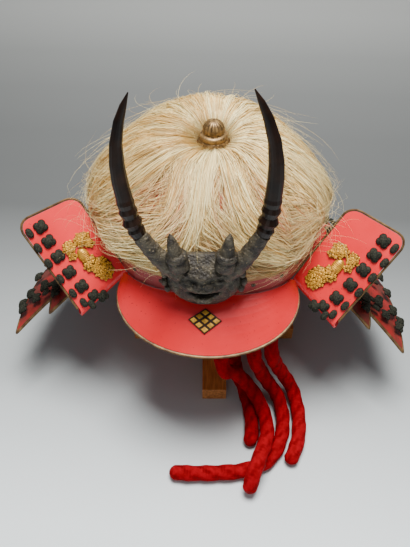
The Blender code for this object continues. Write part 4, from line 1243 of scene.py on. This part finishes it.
@dataclass
class Lion:
    """Gilt curly-maned animal in relief on one flap."""

    side: int
    finish: bpy.types.Material
    golden: float = 2.39996
    # Place along and across, half sizes along and across in metres, height, and curls of each part
    parts: tuple = (
        (0.150, 0.300, 0.0140, 0.0110, 0.0060, 44),
        (0.275, 0.420, 0.0100, 0.0090, 0.0058, 22),
        (0.385, 0.440, 0.0098, 0.0066, 0.0060, 0),
        (0.545, 0.310, 0.0080, 0.0095, 0.0058, 26),
        (0.470, 0.250, 0.0060, 0.0055, 0.0045, 9),
        (0.545, 0.560, 0.0080, 0.0070, 0.0055, 20),
        (0.455, 0.590, 0.0052, 0.0045, 0.0040, 8),
    )

    def build(self) -> None:
        """Puts the animal into the scene."""
        draw = np.random.default_rng(71 + self.side)
        facing = flap_facing(self.side)
        along = unit(flap_point(1.0, 0.4, self.side) - flap_point(0.0, 0.4, self.side))
        across = np.cross(along, facing)
        outward = flap_point(0.3, 1.0, self.side) - flap_point(0.3, 0.0, self.side)
        across *= np.sign(np.dot(across, outward))
        base = facing * (0.5 * LAME_THICKNESS)
        bodies, curls = [], []
        for place, beside, long, wide, high, count in self.parts:
            centre = flap_point(place, beside, self.side) + base
            bodies.append((centre, (long, wide, high * 0.72)))
            for number in range(count):
                turn = number * self.golden
                out = math.sqrt((number + 0.5) / count) * 0.98
                x, y = out * math.cos(turn) * long, out * math.sin(turn) * wide
                lift = high * 0.72 * math.sqrt(max(1 - out * out, 0.04))
                curls.append((centre + along * x + across * y + facing * lift, draw.uniform(0.0014, 0.0021)))
        centres = np.array([c for c, _ in bodies])
        axes = np.tile(np.array((along, across, facing)), (len(bodies), 1, 1))
        # The bodies under the curls get painted shade between the curls. The head gets a little.
        shapes = [blobs(centres, axes, np.array([s for _, s in bodies]), 24, 14,
                        {"recess": np.where([p[5] > 0 for p in self.parts], 0.75, 0.12)})]
        turn = np.linspace(0, 3.4 * np.pi, 20)
        wind = np.linspace(1.0, 0.25, 20)
        at = np.array([c for c, _ in curls])
        size = np.array([r for _, r in curls])
        spin = draw.uniform(0, 2 * np.pi, len(curls))
        angle = turn[None, :] + spin[:, None]
        flat = size[:, None] * wind[None, :]
        paths = (at[:, None] + along * (flat * np.cos(angle))[..., None]
                 + across * (flat * np.sin(angle))[..., None]
                 + facing * (0.0002 + 0.0007 * (1 - wind))[None, :, None])
        shapes.append(tubes(paths, 0.00052, 0.00062, facing, 7, {"recess": np.zeros((len(curls), 20))}))
        ridges = np.linspace(-0.8, 0.8, 9)[:, None, None]
        middle = flap_point(0.385, 0.440, self.side) + base
        bow = np.linspace(-1, 1, 12)[None, :, None]
        high = 0.00435 * np.sqrt(np.maximum(1 - 0.9 * ridges ** 2 - 0.765 * bow ** 2, 0.02))
        ribs = (middle + along * (ridges * 0.0090) + across * (bow * 0.0060 * np.sqrt(1 - ridges ** 2))
                + facing * high)
        shapes.append(tubes(ribs, 0.0005, 0.0005, facing, 6, {"recess": np.zeros((9, 12))}))
        name = "right" if self.side > 0 else "left"
        Shape.joined(shapes).build(f"lion_{name}", self.finish, "gilt_lion", (f"flap_lion_{name}",))


@dataclass
class GuardEdges:
    """Dark metal strips round the front ends of the two lower lames and along the lowest edge."""

    finish: bpy.types.Material
    # Of each lame: shares of the guard's depth and end angles at its top and foot, and its place inwards
    lames: tuple = ((0.335, 0.66, 113.0, 117.5, 1), (0.595, 1.0, 109.0, 115.0, 2))

    def build(self) -> None:
        """Puts the strips into the scene."""
        shapes = []
        for top, low, top_end, low_end, place in self.lames:
            for side in (-1, 1):
                share = np.linspace(0, 1, 40)
                end = np.radians(top_end + (low_end - top_end) * share)
                round_low = np.radians(np.linspace(low_end, low_end - 26.0, 40)[1:])
                angle = side * np.concatenate([end, round_low])
                depth = np.concatenate([top + (low - top) * share, np.full(39, low)])
                middle, _, _, facing = guard_frame(angle, depth)
                middle = middle - facing * place * (LAME_THICKNESS + 0.0003)
                size = np.full(len(middle), 0.0016)
                shapes.append(tubes(middle[None], size[None], size[None] * 1.15, facing[None], 10))
        Shape.joined(shapes).build("guard_edges", self.finish, "flap_edging")


@dataclass
class Lacing:
    """Knots and loops of dark cord on the flaps and round the neck guard."""

    finish: bpy.types.Material
    # Places on a flap, as shares along and across it
    crossed: tuple = ((0.877, 0.735), (0.713, 0.766), (0.537, 0.787), (0.343, 0.785), (0.152, 0.755),
                      (-0.008, 0.682), (-0.078, 0.572))
    loops: tuple = ((0.872, 0.950), (0.710, 0.978), (0.532, 0.985), (0.343, 0.980), (0.156, 0.955),
                    (0.010, 0.900), (-0.062, 0.812))

    # Rows round the neck guard: kind, depth share, last angle from the back in degrees, and count
    rows: tuple = (("tie", 0.33, 110.0, 24), ("tie", 0.60, 107.5, 28), ("knot", 0.90, 104.0, 30),
                   ("loop", 0.765, 103.0, 30))
    # More of it at the lames' front ends: kind, depth share and angle
    ends: tuple = (("knot", 0.93, 109.5), ("knot", 0.80, 108.6), ("loop", 0.70, 109.0),
                   ("knot", 0.955, 106.8), ("loop", 0.87, 106.0), ("loop", 0.66, 106.5),
                   ("knot", 0.60, 111.5), ("loop", 0.52, 110.5), ("knot", 0.74, 105.5),
                   ("loop", 0.47, 113.0))

    @staticmethod
    def braid(turn: np.ndarray, places: int, beats: float) -> np.ndarray:
        """Scale of a braided cord's section: two waves wind round it in opposite ways.

        Args:
            turn: angles round the section.
            places: number of sections.
            beats: number of waves along it.

        Returns:
            A scale for each place and angle.
        """
        run = np.linspace(0, 2 * np.pi * beats, places)[:, None]
        return 1 + 0.075 * np.cos(run + 2 * turn[None, :]) * np.cos(run - 2 * turn[None, :])

    def knot(self, centre: np.ndarray, along: np.ndarray, across: np.ndarray, facing: np.ndarray,
             size: float) -> Shape:
        """A crossed knot: two thick cords over each other.

        Args:
            centre: its middle, on the plate's surface.
            along: direction along the plate.
            across: direction across the plate.
            facing: direction away from the plate.
            size: half length of a cord.

        Returns:
            The shape.
        """
        share = np.linspace(-1, 1, 17)
        taper = np.sqrt(np.maximum(1 - np.abs(share) ** 4.5, 0.02))
        shapes = []
        for sign, lift in ((1, 0.0016), (-1, 0.0028)):
            way = unit(along * 0.90 + across * sign)
            high = lift * np.exp(-(share / 0.55) ** 2) + 0.0009 * (1 - share ** 6)
            path = centre + way * (share * size)[:, None] + facing * high[:, None]
            # Painted shade at each cord's ends, where it meets the plate.
            shapes.append(tubes(path[None], size * 0.50 * taper[None], size * 0.30 * taper[None],
                                facing, 14, {"recess": (0.5 * np.abs(share) ** 6)[None]},
                                lambda turn: self.braid(turn, len(share), 3.0)[None]))
        return Shape.joined(shapes)

    def loop(self, centre: np.ndarray, along: np.ndarray, facing: np.ndarray, size: float) -> Shape:
        """A short upright stitch of the same cord.

        Args:
            centre: its middle, on the plate's surface.
            along: direction it runs in.
            facing: direction away from the plate.
            size: its half length.

        Returns:
            The shape.
        """
        share = np.linspace(-1, 1, 15)
        taper = np.sqrt(np.maximum(1 - np.abs(share) ** 3.2, 0.02))
        high = 0.0019 * (1 - share ** 4)
        path = centre + along * (share * size)[:, None] + facing * high[:, None]
        # Painted shade at the stitch's ends, where it meets the plate.
        return tubes(path[None], size * 0.62 * taper[None], size * 0.40 * taper[None], facing, 14,
                     {"recess": (0.5 * np.abs(share) ** 6)[None]},
                     lambda turn: self.braid(turn, len(share), 2.5)[None])

    def on_flap(self, side: int) -> Shape:
        """Both rows of lacing on one flap.

        Args:
            side: 1 for the right-hand flap, -1 for the left.

        Returns:
            The shape.
        """
        facing = flap_facing(side)
        along = unit(flap_point(1.0, 0.8, side) - flap_point(0.0, 0.8, side))
        across = unit(flap_point(0.3, 1.0, side) - flap_point(0.3, 0.0, side))
        base = facing * (0.5 * LAME_THICKNESS)
        shapes = [self.knot(flap_point(a, b, side) + base, along, across, facing, 0.0080 if a > 0 else 0.0072)
                  for a, b in self.crossed]
        shapes += [self.loop(flap_point(a, b - 0.015, side) + base, along, facing, 0.0056)
                   for a, b in self.loops]
        return Shape.joined(shapes)

    def on_guard(self) -> Shape:
        """Lacing between the lames and along the lowest edge, at even steps round the neck guard.

        Returns:
            The shape.
        """
        shapes = []
        places = [(kind, depth, degrees) for kind, depth, end, count in self.rows
                  for degrees in np.linspace(-end, end, count)]
        places += [(kind, depth, side * degrees) for side in (-1, 1) for kind, depth, degrees in self.ends]
        for kind, depth, degrees in places:
            centre, down, around, facing = guard_frame(np.radians(degrees), depth)
            centre = centre + facing * (0.5 * LAME_THICKNESS)
            if kind == "knot":
                shapes.append(self.knot(centre, down, around, facing, 0.0074))
            elif kind == "loop":
                shapes.append(self.loop(centre, down, facing, 0.0052))
            else:
                shapes += [self.loop(centre + around * off, down, facing, 0.0066)
                           for off in (-0.0036, 0.0036)]
        return Shape.joined(shapes)

    def build(self) -> None:
        """Puts the lacing into the scene."""
        self.on_flap(-1).build("lacing_left", self.finish, "red_cord")
        self.on_flap(1).build("lacing_right", self.finish, "red_cord")
        self.on_guard().build("lacing_guard", self.finish, "red_cord")


@dataclass
class Ropes:
    """The four thick red cord ends."""

    finish: bpy.types.Material
    radius: float = CORD_RADIUS
    sides: int = 30
    twist: float = 0.023

    def build(self) -> None:
        """Puts the cords into the scene: three plies wind round each line, and swell at even steps."""
        size = BOWL_HALF_WIDTH - BOWL_WALL, BOWL_HALF_LENGTH - BOWL_WALL
        for name, (degrees, route) in CORD_ROUTES.items():
            angle = math.radians(degrees)
            hole = ring(plan_radius(*size, angle), angle, CORD_HOLE_Z)
            square = unit(np.array((
                math.copysign(abs(hole[0] / size[0]) ** (PLAN_POWER - 1) / size[0], hole[0]),
                math.copysign(abs(hole[1] / size[1]) ** (PLAN_POWER - 1) / size[1], hole[1]), 0.0)))
            start = [hole - square * inward - np.array((0, 0, drop)) for inward, drop in CORD_HOLE_DROP]
            rough = spline(np.array(start + list(route)), 400)
            length = float(np.linalg.norm(np.diff(rough, axis=0), axis=1).sum())
            count = int(length / 0.0016)
            path = spline(np.array(start + list(route)), count)
            path[:, 2] = np.maximum(path[:, 2], self.radius + 0.0001)
            length = float(np.linalg.norm(np.diff(path, axis=0), axis=1).sum())
            run = np.linspace(0, length, count)
            end = np.sqrt(np.clip(np.minimum(run + 0.002, length - run + 0.0004) / 0.006, 0.02, 1))
            swell = (0.965 + 0.035 * np.cos(2 * np.pi * run / self.twist + degrees)
                     + 0.012 * np.sin(run * 610))
            turn = np.linspace(0, 2 * np.pi, self.sides, endpoint=False)
            ply = np.cos(1.5 * (turn[None, :] - 2 * np.pi * run[:, None] / (3 * self.twist))) ** 2
            wind = 900 * run[:, None]
            braid = np.cos(4 * turn[None, :] + wind) * np.cos(4 * turn[None, :] - wind)
            section = 0.965 + 0.050 * np.sqrt(ply) + 0.020 * braid
            size_along = (self.radius * end * swell)[None]
            shape = tubes(path[None], size_along, size_along, np.array((0.31, 0.22, 0.92)), self.sides,
                          ripple=lambda _: section[None])
            # Painted shade in the grooves between the plies.
            recess = np.clip(0.45 - ply - 0.35 * braid, 0, 0.8).ravel()
            shape.values["recess"] = np.concatenate([recess, (0.0, 0.0)])
            piece = shape.build(f"rope_{name[5:]}", self.finish, "red_cord", (name,))
            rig.cord(piece, exit=tuple(path[0]), length=length, diameter=2 * self.radius, far_end="bare",
                    stiffness="limp", lay="loose", path=[tuple(p) for p in path], with_pieces=[])


@dataclass
class Trim:
    """Lozenge plate on the peak, rivets on the band, and the finial."""

    gilt: bpy.types.Material
    dark: bpy.types.Material
    brass: bpy.types.Material
    # Height above the bowl, radius and depth of the flutes down the finial's outline
    outline: tuple = (
        (0.0000, 0.0170, 0.030), (0.0012, 0.0172, 0.045), (0.0040, 0.0163, 0.035),
        (0.0068, 0.0150, 0.020), (0.0078, 0.0140, 0.000), (0.0086, 0.0143, 0.000),
        (0.0105, 0.0146, 0.008), (0.0126, 0.0140, 0.000), (0.0136, 0.0122, 0.000),
        (0.0142, 0.0108, 0.020), (0.0160, 0.0113, 0.060), (0.0200, 0.0112, 0.075),
        (0.0238, 0.0092, 0.085), (0.0262, 0.0062, 0.090), (0.0272, 0.0035, 0.050),
        (0.0276, 0.0010, 0.000),
    )

    def lozenges(self) -> None:
        """Puts the plate into the scene: a dark ground with a lattice of raised gilt lozenges."""
        size = 67
        step = np.linspace(-1, 1, size)
        first, second = np.meshgrid(step * 0.25, step * 0.25, indexing="ij")
        across, along = (first - second) * PLATE_WIDTH, (first + second) * PLATE_LENGTH
        reach = PEAK_REACH + abs(PEAK_CENTRE_Y) - (BOWL_HALF_LENGTH + GAP + BAND_WALL)
        share = PLATE_SHARE + along / reach
        joint = (BOWL_HALF_LENGTH + GAP + BAND_WALL) * PEAK_JOINT_ANGLE
        turn = across / (PEAK_HALF_WIDTH * PEAK_RIM_ANGLE * share + joint * (1 - share))
        middle = peak_point(turn, share)
        up = unit(np.cross(np.gradient(middle, axis=0), np.gradient(middle, axis=1)))
        up *= np.sign(up[..., 2:3])
        cell = (step + 1) * 1.5 % 1.0
        near = np.minimum(cell, 1 - cell)
        raised = smooth_step((np.minimum(near[:, None], near[None, :]) - 0.13) / 0.07)
        base = middle + up * (PEAK_THICKNESS / 2 + GAP)
        shape = relief_plate(base + up * (0.0011 + 0.0009 * raised)[..., None], base, {"recess": 1 - raised})
        if np.dot(np.cross(middle[1, 0] - middle[0, 0], middle[0, 1] - middle[0, 0]), up[0, 0]) < 0:
            shape.quads = shape.quads[:, ::-1]
        shape.build("lozenge_plate", self.gilt, "crest_plate", ("crest_plate",))

    def rivets(self) -> None:
        """Puts the rivets into the scene: low domes on the band's outer face."""
        angle = np.radians(np.concatenate([np.linspace(-128, -52, 6), np.linspace(-40, 220, 14)]))
        centres = ring(band_radius(angle, 0.0), angle, RIM_Z + 0.017 + 0 * angle)
        out = ring(np.ones_like(angle), angle, 0 * angle)
        round_way = np.stack([-out[:, 1], out[:, 0], 0 * angle], axis=-1)
        axes = np.stack([round_way, np.broadcast_to(np.array((0, 0, 1.0)), out.shape), out], axis=1)
        sizes = np.tile((0.0024, 0.0024, 0.0013), (len(angle), 1))
        blobs(centres, axes, sizes, 12, 7).build("band_rivets", self.dark, "lacquer_shell")

    def finial(self) -> None:
        """Puts the finial into the scene: a petalled skirt, a rolled ring and a deeply fluted dome.

        The section's radius is scaled by 1 - a (1 - |cos(8 turn)|), with its own depth a at each height.
        """
        base = RIM_Z + BOWL_HEIGHT - 0.0003
        table = spline(np.array(self.outline), 96)
        path = np.column_stack([np.zeros((len(table), 2)), base + table[:, 0]])
        sides = 96
        turn = np.linspace(0, 2 * np.pi, sides, endpoint=False)
        flute = (1 - np.abs(np.cos(8 * turn)))[None, :]
        wave = 1 - table[:, 2:3] * flute
        shape = tubes(path[None], table[None, :, 1], table[None, :, 1], np.array((1.0, 0.0, 0.0)), sides,
                      ripple=lambda _: wave[None])
        # Painted shade in the bottoms of the flutes.
        recess = np.clip(flute * table[:, 2:3] * 14 - 0.35, 0, 1).ravel()
        shape.values["recess"] = np.concatenate([recess, (0.0, 0.0)])
        shape.build("finial", self.brass, "finial_gilt", ("finial_base", "finial_ring", "finial_dome"))

    def build(self) -> None:
        """Puts the trim into the scene."""
        self.lozenges()
        self.rivets()
        self.finial()


@dataclass
class Stage:
    """Pale floor that curves up into a grey wall, lights and the camera."""

    back: float = 2.40
    bend: float = 0.60
    # Distance along the sweep, as Y + Z, and the grey there: painted light and shade, lightest near the camera,
    # darkest just behind the object and lighter again further back
    painted_shading: tuple = ((-0.42, 0.98), (-0.29, 0.88), (-0.10, 0.45), (0.02, 0.34), (0.12, 0.22),
                     (0.24, 0.125), (0.36, 0.135), (0.48, 0.155), (0.66, 0.215), (0.85, 0.32),
                     (1.10, 0.55), (1.30, 0.68))
    # Name, place, aim, side, watts and colour of each light
    lamps: tuple = (("key", (0.05, 0.02, 1.45), (0.0, -0.05, 0.1), 0.62, 45.0, (1.0, 0.985, 0.96)),
                    ("front", (-0.1, -1.3, 0.75), (0.0, 0.0, 0.12), 0.7, 2.0, (1.0, 0.98, 0.95)))
    sky: tuple = (0.86, 0.90, 0.95, 1)
    sky_strength: float = 0.19
    sensor: float = 36.0
    # Focal length as a share of the picture's width
    focal_share: float = 530.0 / 547.0
    eye: tuple = (0.0201, -0.4726, 0.605)
    # Camera's tilt up from straight down, and its turn to the left, in degrees
    tilt: float = 43.0
    turn: float = 3.5

    def ground(self) -> None:
        """Puts the floor and wall into the scene as one swept sheet, its greys painted light and shade."""
        turn = np.linspace(0, 0.5 * np.pi, 24)
        line = np.concatenate([[(-1.6, 0.0)],
                               np.column_stack([self.back - self.bend + self.bend * np.sin(turn),
                                                self.bend * (1 - np.cos(turn))]), [(self.back, 1.4)]])
        width = np.array((-2.2, 2.2))
        grid = np.stack([np.broadcast_to(width, (len(line), 2)), np.repeat(line[:, :1], 2, axis=1),
                         np.repeat(line[:, 1:], 2, axis=1)], axis=-1)
        index = np.arange(len(line) * 2).reshape(-1, 2)
        faces = np.stack([index[:-1, 0], index[:-1, 1], index[1:, 1], index[1:, 0]], axis=-1)
        mesh = bpy.data.meshes.new("stage_floor")
        mesh.from_pydata([tuple(p) for p in grid.reshape(-1, 3).tolist()], [], faces.tolist())
        mesh.shade_smooth()
        floor = bpy.data.objects.new("stage_floor", mesh)
        bpy.context.scene.collection.objects.link(floor)
        material = bpy.data.materials.new("stage_painted_shading")
        material.use_nodes = True
        nodes, links = material.node_tree.nodes, material.node_tree.links
        shader = nodes["Principled BSDF"]
        shader.inputs["Roughness"].default_value = 0.7
        place = nodes.new("ShaderNodeTexCoord")
        run = nodes.new("ShaderNodeVectorMath")
        run.operation = "DOT_PRODUCT"
        run.inputs[1].default_value = (0.0, 1.0, 1.0)
        spread = nodes.new("ShaderNodeMapRange")
        first, last = self.painted_shading[0][0], self.painted_shading[-1][0]
        spread.inputs["From Min"].default_value = first
        spread.inputs["From Max"].default_value = last
        ramp = nodes.new("ShaderNodeValToRGB")
        for source, output, target, entry in (
                (place, "Object", run, 0), (run, "Value", spread, "Value"),
                (spread, "Result", ramp, "Fac"), (ramp, "Color", shader, "Base Color")):
            links.new(source.outputs[output], target.inputs[entry])
        for number, (at, grey) in enumerate(self.painted_shading):
            stops = ramp.color_ramp.elements
            share = (at - first) / (last - first)
            if number in (0, len(self.painted_shading) - 1):
                stop = stops[0 if number == 0 else -1]
            else:
                stop = stops.new(share)
            stop.position = share
            stop.color = (grey * (0.89 + 0.09 * share), grey * (0.97 + 0.03 * share),
                          grey * (1 - 0.03 * share), 1)
        mesh.materials.append(material)
        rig.stage(floor)

    @staticmethod
    def light(name: str, place: tuple, aim: tuple, size: float, power: float, colour: tuple) -> None:
        """Adds one square area light.

        Args:
            name: its name.
            place: where it is.
            aim: the point that it shines at.
            size: length of its side.
            power: its power in watts.
            colour: its colour.
        """
        data = bpy.data.lights.new(name, "AREA")
        data.size = size
        data.energy = power
        data.color = colour
        made = bpy.data.objects.new(name, data)
        made.location = place
        made.rotation_euler = (Vector(aim) - Vector(place)).to_track_quat("-Z", "Y").to_euler()
        bpy.context.scene.collection.objects.link(made)
        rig.stage(made)

    def build(self) -> None:
        """Puts the floor, lights, sky and camera into the scene."""
        self.ground()
        for lamp in self.lamps:
            self.light(*lamp)
        world = bpy.data.worlds.new("studio")
        world.use_nodes = True
        background = world.node_tree.nodes["Background"]
        background.inputs["Color"].default_value = self.sky
        background.inputs["Strength"].default_value = self.sky_strength
        bpy.context.scene.world = world
        data = bpy.data.cameras.new("camera")
        data.sensor_width = self.sensor
        data.lens = self.focal_share * self.sensor
        camera = bpy.data.objects.new("camera", data)
        camera.location = self.eye
        camera.rotation_euler = (math.radians(self.tilt), 0.0, math.radians(self.turn))
        bpy.context.scene.collection.objects.link(camera)
        bpy.context.scene.camera = camera


def repaint(finishes: dict[Kind, bpy.types.Material]) -> None:
    """Gives the CAD nodes that stay in view their finished materials.

    Args:
        finishes: the material of each kind.
    """
    table = {
        Kind.SHELL: ("bowl", "waist_band"),
        Kind.LACQUER: ("peak", "neck_lame_1"),
        Kind.LAME: ("neck_lame_2", "neck_lame_3"),
        Kind.EDGING: ("peak_rim", "flap_edging_left", "flap_edging_right"),
        Kind.HORN: ("horn_left", "horn_right"),
        Kind.WOOD: ("stand_bar_long", "stand_bar_cross", "stand_post", "stand_head"),
    }
    for kind, names in table.items():
        for name in names:
            node = bpy.data.objects[name]
            node.data.materials.clear()
            node.data.materials.append(finishes[kind])


def main() -> None:
    """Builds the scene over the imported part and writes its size."""
    logging.basicConfig(level=logging.INFO, format="%(message)s")
    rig.load()
    low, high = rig.bounds()
    groups = Groups()
    finishes = {kind: kind.value.make(groups) for kind in Kind}
    repaint(finishes)
    Hair(finishes[Kind.HAIR], finishes[Kind.UNDER_HAIR]).build()
    Mask(finishes[Kind.BRONZE]).build()
    for side in (-1, 1):
        Lion(side, finishes[Kind.GILT]).build()
    Lacing(finishes[Kind.LACE]).build()
    Ropes(finishes[Kind.ROPE]).build()
    GuardEdges(finishes[Kind.EDGING]).build()
    Trim(finishes[Kind.PLATE], finishes[Kind.BRONZE], finishes[Kind.BRASS]).build()
    Stage().build()
    seen_low, seen_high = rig.bounds()
    report = {"cad": [list(low), list(high)], "visual": [list(seen_low), list(seen_high)]}
    with open("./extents.json", "w") as out:
        out.write(str(report).replace("'", '"'))
    LOG.info("visual box %s %s", list(seen_low), list(seen_high))
    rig.finish()


if __name__ == "__main__":
    main()
